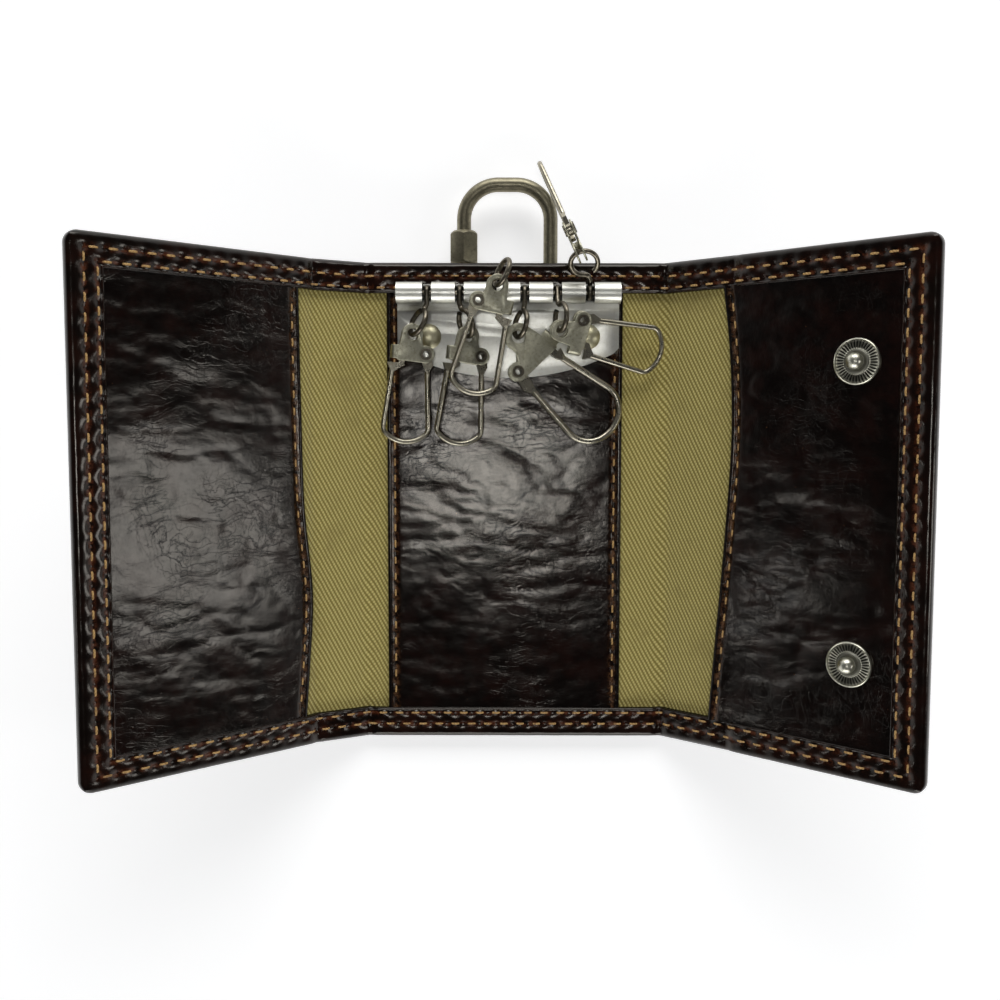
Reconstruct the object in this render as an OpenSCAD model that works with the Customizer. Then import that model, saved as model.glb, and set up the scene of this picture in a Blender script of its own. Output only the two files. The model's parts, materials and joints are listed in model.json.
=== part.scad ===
// Tri-fold key case of antique leather, lying open on its back with both wings raised.
// Origin: middle of the back's outer face. +X to the right wing, +Y to the rail end,
// +Z out of the inner face. Lengths are in millimetres and angles in degrees.

/* [Case] */
// Height of the case, along its folds
case_h = 110; // [104:0.5:120]
// Flat distance from the middle of the case to the outer edge of either wing
wing_reach = 96.2; // [95:0.1:102]
// Distance from the middle to the crease where the left spine starts
left_crease = 31; // [30:0.1:34]
// Distance from the middle to the crease where the right spine starts
right_crease = 36; // [35.9:0.1:39]
// Width of the left spine, which sets the room inside the closed case
left_spine_w = 13; // [12.6:0.1:14]
// Room between the closed left wing and the right wing that snaps over it
wing_room = 1.2; // [1:0.1:1.5]
// Radius of the outer corners
corner_r = 2.6; // [1.5:0.1:5]
// Gap left at each crease between the leather on its two sides
crease_gap = 0.3; // [0.2:0.05:0.5]

/* [Leather] */
// Thickness of the outer leather
shell_t = 1.2; // [1:0.1:1.6]
// Thickness of the stiffening board
board_t = 0.6; // [0.4:0.1:0.8]
// Thickness of the twill lining
lining_t = 0.4; // [0.3:0.05:0.6]
// Thickness of the inner leather panel and pockets
panel_t = 0.8; // [0.6:0.1:1.1]
// Thickness of the edge that is turned over and sewn down
turn_t = 1.2; // [1.1:0.1:1.6]
// Width of the turned edge
turn_w = 7; // [6:0.1:8.5]
// Half width of the centre panel
panel_half_w = 27; // [26:0.1:28.5]
// How far the board ends before a crease
board_back = 1.5; // [1:0.1:3]
// Depth of the thumb bay in the mouth of each pocket
mouth_dip = 1.2; // [0.5:0.1:2]

/* [Fold angles at rest] */
// Left spine above the back
left_spine_deg = 26.5; // [5:0.5:40]
// Left wing beyond its spine
left_wing_deg = 13.2; // [5:0.5:30]
// Right spine above the back
right_spine_deg = 38.3; // [10:0.5:45]
// Right wing beyond its spine
right_wing_deg = 2; // [1:0.5:20]

/* [Key rail] */
// Length of the rail
rail_l = 50.4; // [50:0.1:54]
// Middle of the rail, right of the middle of the case
rail_x = 0.8; // [0:0.1:1.2]
// Distance of the rail's axis below the case's upper edge
rail_in = 7.3; // [6:0.1:8]
// Outer diameter of the rolled barrel
barrel_d = 4.8; // [4.6:0.1:5.2]
// Wall of the barrel
barrel_wall = 0.5; // [0.4:0.05:0.6]
// Air between the barrel and the turned edge under it
barrel_lift = 0.2; // [0.1:0.05:0.4]
// Thickness of the base plate
plate_t = 0.8; // [0.6:0.1:1]
// Distance from the rail's axis to the plate's lower corners
plate_side_h = 12.8; // [12:0.1:14]
// Distance from the rail's axis to the lowest point of the plate
plate_mid_h = 18.9; // [18:0.1:20]
// Size of the cut-off lower corners of the plate
plate_cut = 3; // [1:0.1:4]
// Distance between two neighbouring slots
slot_pitch = 7.31; // [7:0.01:7.6]
// Width of a slot
slot_w = 2.05; // [1.9:0.05:2.4]
// Diameter of the rod inside the barrel
rod_d = 1; // [0.9:0.05:1.1]

/* [Rivets of the rail] */
// Distance from the middle of the rail to either rivet
rivet_off = 18.1; // [17.5:0.1:18.6]
// Distance from the rail's axis to the rivets
rivet_drop = 9.6; // [9.2:0.1:10.2]
// Diameter of the domed head
rivet_head_d = 5.7; // [5:0.1:6]
// Height of the domed head
rivet_head_h = 1.2; // [0.9:0.1:1.4]
// Diameter of the shank
rivet_shank_d = 2.4; // [2:0.1:2.8]

/* [Snap fasteners] */
// Flat distance from the middle of the case to the studs
stud_x = 80.6; // [80:0.1:81.4]
// Distance of the studs above and below the middle
stud_y = 30.8; // [28:0.1:34]
// Diameter of the ribbed flange
stud_d = 9.5; // [9:0.1:10]
// Thickness of the flange
stud_t = 0.9; // [0.8:0.05:1]
// Diameter of the ball head
stud_ball_d = 3.5; // [3.3:0.1:3.6]
// Height of the ball's top above the pocket
stud_h = 3.5; // [3.2:0.1:3.6]
// Number of ribs on the flange
stud_ribs = 18; // [12:2:24]
// Diameter of the domed cap outside
cap_d = 10.5; // [10:0.1:12]
// Height of the cap
cap_h = 1.1; // [0.9:0.1:1.3]
// Diameter of the flange of the socket
socket_d = 9.2; // [8.8:0.1:9.6]
// Bore of the socket
socket_bore = 4.3; // [4.2:0.1:4.6]

/* [Eye pins] */
// Diameter of the wire
pin_wire_d = 1.2; // [1.1:0.05:1.25]
// Distance from the rod to the middle of the ring
pin_reach = 7.15; // [7:0.05:7.3]
// Radius of the ring, to the middle of its wire
pin_ring_r = 3; // [2.95:0.05:3.1]
// Angle round the ring from the stem to the ring's free end
pin_end_deg = 28; // [24:1:34]
// Inner bends of the wire, to its middle
pin_bend_r = 1; // [0.8:0.05:1.1]

/* [Small clips] */
// Diameter of the hole for the ring
small_hole_d = 2.6; // [2.55:0.05:2.7]
// Radius of the rounded top
small_top_r = 2.4; // [2.3:0.05:2.5]
// Rivet, right of the hole
small_rivet_x = 3.3; // [3.2:0.05:3.4]
// Rivet, below the hole
small_rivet_y = 4.2; // [4.1:0.05:4.3]
// Radius of the lobe round the rivet
small_lobe_r = 1.95; // [1.9:0.05:2]
// Left corner, left of the hole
small_corner_x = 3.15; // [3.1:0.05:3.25]
// Left corner, below the hole
small_corner_y = 5.9; // [5.8:0.05:6]
// Half width of the wire loop at the plate
small_leg_x = 3.98; // [3.9:0.02:4.04]
// Half width of the wire loop at its foot
small_loop_x = 5.12; // [5:0.02:5.2]
// Distance from the hole to the lowest point of the loop
small_loop_l = 24.2; // [23.8:0.1:24.6]
// Radius of the foot of the loop, to the middle of the wire
small_foot_r = 6.5; // [6.2:0.1:7]
// Radius of the bends beside the foot
small_bend_r = 2; // [1.6:0.1:2.4]
// Diameter of the loop's wire
small_wire_d = 1.15; // [1.05:0.05:1.2]

/* [Large clip] */
// Diameter of the hole for the ring
large_hole_d = 3.2; // [3.1:0.05:3.3]
// Radius of the rounded top
large_top_r = 3; // [2.9:0.05:3.1]
// Rivet, right of the hole
large_rivet_x = 6.05; // [5.9:0.05:6.2]
// Rivet, below the hole
large_rivet_y = 4.97; // [4.9:0.01:5.1]
// Radius of the lobe round the rivet
large_lobe_r = 2.15; // [2.1:0.05:2.2]
// Left corner, left of the hole
large_corner_x = 4.15; // [4.05:0.05:4.25]
// Left corner, below the hole
large_corner_y = 8.1; // [8:0.05:8.2]
// Middle of the wire loop, right of the hole
large_loop_mid = 2; // [1.9:0.05:2.1]
// Half width of the wire loop at the plate
large_leg_x = 5.08; // [5:0.02:5.16]
// Half width of the wire loop at its foot
large_loop_x = 6.9; // [6.7:0.05:7]
// Distance from the hole to the lowest point of the loop
large_loop_l = 29.6; // [29.2:0.1:30]
// Radius of the foot of the loop, to the middle of the wire
large_foot_r = 8; // [7.8:0.1:8.4]
// Radius of the bends beside the foot
large_bend_r = 6.2; // [5.8:0.1:6.4]
// Diameter of the loop's wire
large_wire_d = 1.4; // [1.3:0.05:1.45]

/* [All clips] */
// Thickness of one sheet of the folded plate
sheet_t = 0.42; // [0.36:0.02:0.46]
// Gap between the two sheets
sheet_gap = 1.15; // [1.1:0.05:1.2]
// Thickness of the flattened wire ends between the sheets
tongue_t = 0.95; // [0.9:0.05:1]
// Diameter of the tubular rivet
tube_d = 2; // [1.9:0.05:2.1]
// Bore of the tubular rivet
tube_bore = 1.45; // [1.3:0.05:1.55]
// Diameter of its rolled rims
tube_rim_d = 2.6; // [2.5:0.05:2.8]
// Height of a rolled rim
tube_rim_h = 0.3; // [0.2:0.05:0.35]

/* [Shackle] */
// Middle of the shackle, right of the middle of the case
shackle_x = 0.6; // [0:0.1:1.2]
// Diameter of the bar
shackle_d = 3.3; // [3:0.1:3.5]
// Distance between the middles of the legs
shackle_w = 20.2; // [19.5:0.1:21]
// Length from the middle of the lower bar to the middle of the upper bar
shackle_l = 27.85; // [27:0.05:29]
// Radius of the upper bends
shackle_top_r = 8; // [7:0.1:9]
// Radius of the lower bends
shackle_low_r = 3; // [2.5:0.1:3.2]
// Distance of the lower bar below the case's upper edge
shackle_in = 9; // [8.5:0.1:10]
// Depth of the shackle's plane behind the back
shackle_drop = 3.9; // [3.9:0.05:4.4]
// Width across the flats of the nut
nut_af = 6.2; // [5.8:0.1:6.2]
// Length of the nut
nut_l = 8; // [7.5:0.1:8.2]
// How far the nut's top stands above the case's edge
nut_above = 8.15; // [8:0.05:8.4]
// Length of the gap that the nut closes
link_gap = 5.4; // [4.8:0.1:5.8]

/* [Leather tab of the shackle] */
// Width of the tab
tab_w = 13; // [11:0.5:14]
// Thickness of the tab's leather
tab_t = 1.2; // [1:0.1:1.3]
// Length of the tab that is sewn to the back
tab_l = 14; // [12:0.5:18]

/* [Hidden] */
$fn = 64;

// Colours of the materials
LEATHER = "#3a241b";
TWILL = "#b2a569";
BOARD = "#8d8068";
NICKEL = "#b9b7ab";
BRASS = "#8f8a70";
PALE_BRASS = "#d8d2a8";

// Overrun of every cut
over = 0.5;
// How far a straight or slim piece of a wire runs on into the bend beside it
lap = 0.1;
// Thickness of a slim piece of a wire, as a share of its bends
slim_share = 0.94;
// Stud: shank and neck as shares of the ball, rim and dish as shares of the flange
shank_share = 0.7;
neck_share = 0.8;
rim_share = 0.06;
dish_share = 0.6;
// Clip sheet: cut-off corner as a share of the lobe, shoulder as shares of the rounded top
cut_share = 0.2;
shoulder_share = 0.96;
shoulder_drop_share = 0.28;
armpit_drop_share = 0.66;
// Flattened wire ends: where the leg ends below the plate, half width of the root, rise of
// the flare and width of the catch, all as shares of the wire
leg_drop_share = 1.9;
root_share = 0.2;
flare_share = 1.4;
catch_share = 1.6;
// Eye of the hinge end as a share of the tube, and its flat's half width as a share of the eye
eye_share = 0.72;
flat_share = 0.85;
// Clearance of a part that turns on a pin, on the radius
run = 0.05;
// Clearance between a stud's shank or a barrel and the leather that it passes
ease = 0.1;

// Levels of the layers on the board, above the outer face
board_z = shell_t;
lining_z = board_z + board_t;
inner_z = lining_z + lining_t;
panel_z = inner_z + panel_t;
turn_z = inner_z + turn_t;
// Levels on a spine, which has no board
spine_inner_z = shell_t + lining_t;
spine_turn_z = spine_inner_z + turn_t;
// The folds turn about lines at the level of the turned edge
fold_z = turn_z;

// The right spine clears the closed left wing
right_spine_w = left_spine_w + turn_z + wing_room;
left_fold = left_crease + left_spine_w;
right_fold = right_crease + right_spine_w;
half_gap = crease_gap / 2;
half_h = case_h / 2;
clear_h = half_h - turn_w;

// Rail
rail_y = half_h - rail_in;
rail_z = turn_z + barrel_lift + barrel_d / 2;
plate_z = panel_z + plate_t;
bore_d = barrel_d - 2 * barrel_wall;
rivet_y = rail_y - rivet_drop;
plate_sag = plate_mid_h - plate_side_h;
plate_arc_r = (pow(rail_l / 2, 2) + pow(plate_sag, 2)) / (2 * plate_sag);
// The slots open the barrel from just under its axis upwards
slot_floor = rail_z - pin_wire_d;

// Snap fasteners
stud_shank_d = stud_ball_d * shank_share;
stud_neck_d = stud_ball_d * neck_share;
socket_barrel_d = (socket_d + socket_bore) / 2;
socket_lip_t = 0.3;
// The socket lies on the left wing where the stud meets it when the case is closed
socket_x = left_fold + left_crease + right_crease - (stud_x - right_fold);

// Sheets of a clip plate
sheet_z = sheet_gap / 2;
plate_half_t = sheet_z + sheet_t;

// The bar of the shackle turns in the loop of the tab
shackle_y = half_h - shackle_in;
tab_ease = 0.45;
tab_in_r = shackle_d / 2 + tab_ease;
tab_out_r = tab_in_r + tab_t;
leg_half = shackle_w / 2;
nut_top = half_h + nut_above;
nut_bore_d = shackle_d + 2 * run;
link_gap_y = nut_top - (nut_l - link_gap) / 2;

// A clip's sizes: hole diameter, top radius, rivet right, rivet down, lobe radius,
// corner left, corner down, loop middle, leg half width, foot half width, loop length,
// foot radius, bend radius, wire diameter
SMALL = [small_hole_d, small_top_r, small_rivet_x, small_rivet_y, small_lobe_r,
         small_corner_x, small_corner_y, 0, small_leg_x, small_loop_x,
         small_loop_l, small_foot_r, small_bend_r, small_wire_d];
LARGE = [large_hole_d, large_top_r, large_rivet_x, large_rivet_y, large_lobe_r,
         large_corner_x, large_corner_y, large_loop_mid, large_leg_x, large_loop_x,
         large_loop_l, large_foot_r, large_bend_r, large_wire_d];
function hole_d(c) = c[0];
function top_r(c) = c[1];
function tube_at(c) = [c[2], -c[3]];
function lobe_r(c) = c[4];
function corner_at(c) = [-c[5], -c[6]];
function loop_mid(c) = c[7];
function leg_x(c) = c[8];
function foot_x(c) = c[9];
function loop_l(c) = c[10];
function foot_r(c) = c[11];
function bend_r(c) = c[12];
function wire_d(c) = c[13];

// Each hook: slot number, swing of the pin above the plate, lean of the pin, twist of its
// ring, place of the clip round the ring, clip sizes, mirrored, and the clip's pitch, roll
// and yaw. Swing 0 points down the case and 180 up it.
HOOKS = [
    [1, 0, -26, 60, 0, SMALL, false, [3, 11, -4]],
    [2, 1.5, 18, 62, -20, SMALL, false, [-2, 16, -6]],
    [3, 113.5, 30, 80, -117, SMALL, true, [2, 8, -14]],
    [4, 1, -11, 66, 0, LARGE, true, [3, 8, 50]],
    [5, 26.5, 8, 70, -24, SMALL, false, [14, -9, 77]],
    [6, 140.5, -20, 180, 3, SMALL, true, [106, 63, -51]]
];
function slot_x(h) = rail_x + (h[0] - (len(HOOKS) + 1) / 2) * slot_pitch;
function swing(h) = h[1];
function lean(h) = h[2];
function twist(h) = h[3];
function place(h) = h[4];
function clip(h) = h[5];
function flipped(h) = h[6];
function turn(h) = h[7];

// A direction of the pin's own frame, swung up with the pin
function swung(h, v) = [
    v[0],
    v[1] * cos(swing(h)) + v[2] * sin(swing(h)),
    v[2] * cos(swing(h)) - v[1] * sin(swing(h))
];
function stem_dir(h) = [sin(lean(h)), -cos(lean(h)), 0];
// The wire leaves the curl at its top, runs out of the slot and bends to its lean
curl_r = rod_d / 2 + run + pin_wire_d / 2;
stem_out = barrel_d / 2;
pin_slim_d = pin_wire_d * slim_share;
function bend_end(h) = [
    sign(lean(h)) * pin_bend_r * (1 - cos(lean(h))),
    -stem_out - pin_bend_r * sin(abs(lean(h))),
    curl_r
];
function neck_l(h) = pin_reach - stem_out - pin_bend_r * sin(abs(lean(h)));
function ring_side(h) = [
    cos(lean(h)) * cos(twist(h)),
    sin(lean(h)) * cos(twist(h)),
    sin(twist(h))
];
function rod_at(h) = [slot_x(h), rail_y, rail_z];
function ring_at(h) = rod_at(h) + swung(h, bend_end(h) + neck_l(h) * stem_dir(h));
// The clip's hole lies on the ring's wire
function hole_at(h) = ring_at(h)
    + swung(h, pin_ring_r * (cos(place(h)) * stem_dir(h) + sin(place(h)) * ring_side(h)));

// How far an arc of radius r turns over the length of one lap
function lap_deg(r) = lap / r * 180 / PI;

// A round bar from one point to another
module bar(from, to, d) {
    v = to - from;
    reach = norm(v);
    translate(from)
        rotate([0, acos(v[2] / reach), atan2(v[1], v[0])])
            cylinder(h = reach, d = d);
}

// A bent round bar: the arc from one angle to another about Z
module bend(r, d, from_deg, to_deg) {
    rotate([0, 0, from_deg])
        rotate_extrude(angle = to_deg - from_deg)
            translate([r, 0])
                circle(d = d, $fn = 32);
}

// A ring standing on the level z
module ring(outer_d, inner_d, h, z) {
    translate([0, 0, z])
        difference() {
            cylinder(h = h, d = outer_d);
            translate([0, 0, -over])
                cylinder(h = h + 2 * over, d = inner_d);
        }
}

// The two places of a pair above and below the middle
module at_snaps(x) {
    for (side = [-1, 1])
        translate([x, side * stud_y, 0])
            children();
}

module at_rivets() {
    for (side = [-1, 1])
        translate([rail_x + side * rivet_off, rivet_y, 0])
            children();
}

// Flat outline from x0 to x1, drawn in by an inset at the top and bottom
module strip(x0, x1, inset) {
    h = case_h - 2 * inset;
    translate([x0, -h / 2])
        square([x1 - x0, h]);
}

// Flat outline of a wing, drawn in at its outer edge too, with rounded outer corners
module wing_field(x0, inset) {
    r = max(corner_r - inset, run);
    x1 = wing_reach - inset;
    y1 = half_h - inset;
    translate([x0, -y1])
        square([x1 - r - x0, 2 * y1]);
    translate([x0, r - y1])
        square([x1 - x0, 2 * (y1 - r)]);
    for (side = [-1, 1])
        translate([x1 - r, side * (y1 - r)])
            circle(r = r);
}

// Outer leather of a straight section: its two long edges are turned over the lining
module turned_strip(x0, x1, inner, top) {
    difference() {
        linear_extrude(top) strip(x0, x1, 0);
        translate([0, 0, shell_t])
            linear_extrude(inner - shell_t) strip(x0 - over, x1 + over, shell_t);
        translate([0, 0, inner - run])
            linear_extrude(top) strip(x0 - over, x1 + over, turn_w);
    }
}

// Outer leather of a wing: three edges are turned over the lining
module turned_wing(x0) {
    difference() {
        linear_extrude(turn_z) wing_field(x0, 0);
        translate([0, 0, shell_t])
            linear_extrude(inner_z - shell_t) wing_field(x0 - over, shell_t);
        translate([0, 0, inner_z - run])
            linear_extrude(turn_z) wing_field(x0 - over, turn_w);
    }
}

// Pocket of a wing, with a shallow bay in its mouth
module pocket_flat(x0) {
    bay_r = (pow(clear_h, 2) + pow(mouth_dip, 2)) / (2 * mouth_dip);
    translate([0, 0, inner_z])
        linear_extrude(panel_t)
            difference() {
                wing_field(x0, turn_w);
                translate([x0 + mouth_dip - bay_r, 0])
                    circle(r = bay_r, $fn = 256);
            }
}

// The folds: each section is drawn flat on the right or left and turned up about its crease
module about_fold(x, deg) {
    translate([x, 0, fold_z])
        rotate([0, deg, 0])
            translate([-x, 0, -fold_z])
                children();
}

module on_left_spine() {
    about_fold(-left_crease, left_spine_deg)
        mirror([1, 0, 0])
            children();
}

module on_left_wing() {
    about_fold(-left_crease, left_spine_deg)
        about_fold(-left_fold, left_wing_deg)
            mirror([1, 0, 0])
                children();
}

module on_right_spine() {
    about_fold(right_crease, -right_spine_deg)
        children();
}

module on_right_wing() {
    about_fold(right_crease, -right_spine_deg)
        about_fold(right_fold, -right_wing_deg)
            children();
}

// Back section
module outer_shell_back() {
    color(LEATHER)
        turned_strip(half_gap - left_crease, right_crease - half_gap, inner_z, turn_z);
}

module stiffener_back() {
    color(BOARD)
        translate([0, 0, board_z])
            linear_extrude(board_t)
                difference() {
                    strip(board_back - left_crease, right_crease - board_back, shell_t);
                    at_rivets() circle(d = rivet_head_d);
                }
}

module lining_back() {
    color(TWILL)
        translate([0, 0, lining_z])
            linear_extrude(lining_t)
                difference() {
                    strip(half_gap - left_crease, right_crease - half_gap, shell_t);
                    at_rivets() circle(d = rivet_shank_d);
                }
}

module centre_panel() {
    color(LEATHER)
        translate([0, 0, inner_z])
            linear_extrude(panel_t)
                difference() {
                    strip(-panel_half_w, panel_half_w, turn_w);
                    at_rivets() circle(d = rivet_shank_d);
                }
}

// Rail: one sheet, rolled to a barrel along its upper edge and slotted for six pins
module plate_outline() {
    translate([rail_x, 0])
        difference() {
            intersection() {
                translate([-rail_l / 2, rail_y - plate_mid_h])
                    square([rail_l, plate_mid_h - barrel_d / 4]);
                translate([0, rail_y - plate_mid_h + plate_arc_r])
                    circle(r = plate_arc_r, $fn = 256);
            }
            for (side = [-1, 1])
                translate([side * rail_l / 2, rail_y - plate_side_h - plate_cut / 2])
                    rotate([0, 0, 45])
                        square(plate_cut, center = true);
        }
}

module key_rail() {
    color(NICKEL) {
        difference() {
            union() {
                translate([0, 0, panel_z])
                    linear_extrude(plate_t)
                        difference() {
                            plate_outline();
                            at_rivets() circle(d = rivet_shank_d);
                        }
                rail_neck();
                translate([rail_x - rail_l / 2, rail_y, rail_z])
                    rotate([0, 90, 0])
                        cylinder(h = rail_l, d = barrel_d);
            }
            translate([rail_x - rail_l / 2 - over, rail_y, rail_z])
                rotate([0, 90, 0])
                    cylinder(h = rail_l + 2 * over, d = bore_d);
            for (h = HOOKS)
                translate([slot_x(h) - slot_w / 2, rail_y - barrel_d, slot_floor])
                    cube([slot_w, 2 * barrel_d, 2 * barrel_d]);
        }
        rail_plugs();
    }
}

// The sheet climbs from the plate to the underside of the barrel
module rail_neck() {
    low = [rail_y - barrel_d, panel_z];
    high = [rail_y, rail_z - barrel_d / 2];
    translate([rail_x - rail_l / 2, 0, 0])
        rotate([90, 0, 90])
            linear_extrude(rail_l)
                polygon([
                    low,
                    [rail_y - barrel_d / 4, panel_z],
                    high,
                    high + [0, barrel_wall],
                    [rail_y - barrel_d / 4, plate_z + barrel_wall / 2],
                    low + [0, plate_t]
                ]);
}

// The rod is held at both ends of the barrel by rolled-in ends
module rail_plugs() {
    for (side = [-1, 1])
        translate([rail_x + side * (rail_l - plate_t) / 2, rail_y, rail_z])
            rotate([0, 90, 0])
                translate([0, 0, -plate_t / 2])
                    ring(bore_d + barrel_wall, rod_d, plate_t, 0);
}

module rail_rod() {
    color(BRASS)
        translate([rail_x - rail_l / 2, rail_y, rail_z])
            rotate([0, 90, 0])
                cylinder(h = rail_l, d = rod_d);
}

// A shallow dome standing on the level z
module dome(d, h, z) {
    r = (d * d / 4 + h * h) / (2 * h);
    translate([0, 0, z])
        intersection() {
            translate([0, 0, h - r]) sphere(r = r, $fn = 200);
            cylinder(h = h, d = d);
        }
}

module plate_rivets() {
    color(PALE_BRASS)
        at_rivets() {
            dome(rivet_head_d, rivet_head_h, plate_z);
            translate([0, 0, board_z])
                cylinder(h = plate_z - board_z, d = rivet_shank_d);
        }
}

module rivet_washers() {
    color(PALE_BRASS)
        at_rivets() ring(rivet_head_d, rivet_shank_d, board_t, board_z);
}

// The tab's leather goes round the shackle's bar and lies double on the back
module shackle_tab() {
    seam_y = shackle_y - tab_out_r;
    color(LEATHER)
        translate([shackle_x - tab_w / 2, 0, 0])
            rotate([90, 0, 90])
                linear_extrude(tab_w)
                    difference() {
                        union() {
                            translate([shackle_y, -shackle_drop]) circle(r = tab_out_r);
                            polygon([
                                [shackle_y - tab_l - tab_out_r, 0],
                                [shackle_y - tab_l - tab_out_r, -2 * tab_t],
                                [seam_y - tab_t, -2 * tab_t],
                                [seam_y + tab_t / 2, -shackle_drop - tab_t],
                                [shackle_y, -shackle_drop],
                                [shackle_y + tab_t, -tab_t],
                                [shackle_y, 0]
                            ]);
                        }
                        translate([shackle_y, -shackle_drop]) circle(r = tab_in_r);
                    }
}

// Left spine and wing
module left_spine_shell() {
    color(LEATHER)
        on_left_spine()
            turned_strip(left_crease + half_gap, left_fold - half_gap, spine_inner_z, spine_turn_z);
}

module left_spine_lining() {
    color(TWILL)
        on_left_spine()
            spine_lining(left_crease, left_fold);
}

module spine_lining(x0, x1) {
    translate([0, 0, shell_t])
        linear_extrude(lining_t)
            strip(x0 + half_gap, x1 - half_gap, shell_t);
}

module left_wing_shell() {
    color(LEATHER)
        on_left_wing()
            difference() {
                turned_wing(left_fold + half_gap);
                at_snaps(socket_x)
                    translate([0, 0, -over])
                        cylinder(h = shell_t + 2 * over, d = socket_barrel_d);
            }
}

module wing_board(fold_x, hole_x, d) {
    translate([0, 0, board_z])
        linear_extrude(board_t)
            difference() {
                wing_field(fold_x + board_back, shell_t);
                at_snaps(hole_x) circle(d = d);
            }
}

module wing_lining(fold_x, hole_x, d) {
    translate([0, 0, lining_z])
        linear_extrude(lining_t)
            difference() {
                wing_field(fold_x + half_gap, shell_t);
                at_snaps(hole_x) circle(d = d);
            }
}

module left_wing_stiffener() {
    color(BOARD)
        on_left_wing() wing_board(left_fold, socket_x, socket_barrel_d);
}

module left_wing_lining() {
    color(TWILL)
        on_left_wing() wing_lining(left_fold, socket_x, socket_d);
}

module left_pocket() {
    color(LEATHER)
        on_left_wing() pocket_flat(left_fold + half_gap);
}

// Sockets open on the outer face, and eyelets clinch them under the pocket
module snap_sockets() {
    color(BRASS)
        on_left_wing()
            at_snaps(socket_x)
                difference() {
                    union() {
                        translate([0, 0, -socket_lip_t])
                            cylinder(h = socket_lip_t, d = socket_d);
                        cylinder(h = lining_z, d = socket_barrel_d);
                    }
                    translate([0, 0, -socket_lip_t - over])
                        cylinder(h = lining_z + 2 * over, d = socket_bore);
                }
}

module socket_eyelets() {
    color(BRASS)
        on_left_wing()
            at_snaps(socket_x)
                ring(socket_d, socket_bore, lining_t, lining_z);
}

// Right spine and wing
module right_spine_shell() {
    color(LEATHER)
        on_right_spine()
            turned_strip(right_crease + half_gap, right_fold - half_gap, spine_inner_z, spine_turn_z);
}

module right_spine_lining() {
    color(TWILL)
        on_right_spine()
            spine_lining(right_crease, right_fold);
}

module right_wing_shell() {
    color(LEATHER)
        on_right_wing()
            difference() {
                turned_wing(right_fold + half_gap);
                at_snaps(stud_x)
                    translate([0, 0, -over])
                        cylinder(h = shell_t + 2 * over, d = stud_shank_d);
            }
}

module right_wing_stiffener() {
    color(BOARD)
        on_right_wing() wing_board(right_fold, stud_x, stud_shank_d);
}

module right_wing_lining() {
    color(TWILL)
        on_right_wing() wing_lining(right_fold, stud_x, stud_shank_d);
}

module right_pocket() {
    color(LEATHER)
        on_right_wing()
            difference() {
                pocket_flat(right_fold + half_gap);
                at_snaps(stud_x)
                    cylinder(h = panel_z + over, d = stud_shank_d);
            }
}

// A stud: shank through the wing, ribbed flange with a rim, neck and ball head
module snap_studs() {
    rim_w = stud_d * rim_share;
    dish_t = stud_t * dish_share;
    color(NICKEL)
        on_right_wing()
            at_snaps(stud_x) {
                cylinder(h = panel_z, d = stud_shank_d);
                translate([0, 0, panel_z]) {
                    cylinder(h = dish_t, d = stud_d);
                    ring(stud_d, stud_d - 2 * rim_w, stud_t, 0);
                    for (i = [0 : stud_ribs - 1])
                        rotate([0, 0, i * 360 / stud_ribs])
                            translate([stud_neck_d, -rim_w / 2, 0])
                                cube([stud_d / 2 - rim_w / 2 - stud_neck_d, rim_w, (dish_t + stud_t) / 2]);
                    cylinder(h = stud_h - stud_ball_d / 2, d = stud_neck_d);
                    translate([0, 0, stud_h - stud_ball_d / 2])
                        sphere(d = stud_ball_d);
                }
            }
}

module snap_caps() {
    color(NICKEL)
        on_right_wing()
            at_snaps(stud_x)
                mirror([0, 0, 1])
                    dome(cap_d, cap_h, 0);
}

// Shackle: a closed link whose gap lies inside the nut
module shackle() {
    top_y = shackle_y + shackle_l;
    color(BRASS)
        translate([shackle_x, 0, -shackle_drop]) {
            bar([shackle_low_r - leg_half, shackle_y, 0], [leg_half - shackle_low_r, shackle_y, 0], shackle_d);
            bar([shackle_top_r - leg_half, top_y, 0], [leg_half - shackle_top_r, top_y, 0], shackle_d);
            bar([leg_half, shackle_y + shackle_low_r, 0], [leg_half, top_y - shackle_top_r, 0], shackle_d);
            bar([-leg_half, shackle_y + shackle_low_r, 0], [-leg_half, link_gap_y - link_gap, 0], shackle_d);
            bar([-leg_half, link_gap_y, 0], [-leg_half, top_y - shackle_top_r, 0], shackle_d);
            for (side = [0, 1])
                mirror([side, 0, 0]) {
                    translate([leg_half - shackle_low_r, shackle_y + shackle_low_r, 0])
                        bend(shackle_low_r, shackle_d, -90, 0);
                    translate([leg_half - shackle_top_r, top_y - shackle_top_r, 0])
                        bend(shackle_top_r, shackle_d, 0, 90);
                }
        }
}

// Hexagon nut with rounded-off ends; one corner faces the back
module shackle_nut() {
    corner_d = nut_af / cos(30);
    chamfer = (corner_d - nut_af) / 2;
    color(BRASS)
        translate([shackle_x - leg_half, nut_top, -shackle_drop])
            rotate([90, 0, 0])
                difference() {
                    intersection() {
                        rotate([0, 0, 90]) cylinder(h = nut_l, d = corner_d, $fn = 6);
                        rotate_extrude()
                            polygon([
                                [0, 0],
                                [nut_af / 2 - chamfer, 0],
                                [corner_d / 2, 2 * chamfer],
                                [corner_d / 2, nut_l - 2 * chamfer],
                                [nut_af / 2 - chamfer, nut_l],
                                [0, nut_l]
                            ]);
                    }
                    translate([0, 0, -over])
                        cylinder(h = nut_l + 2 * over, d = nut_bore_d);
                }
}

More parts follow.
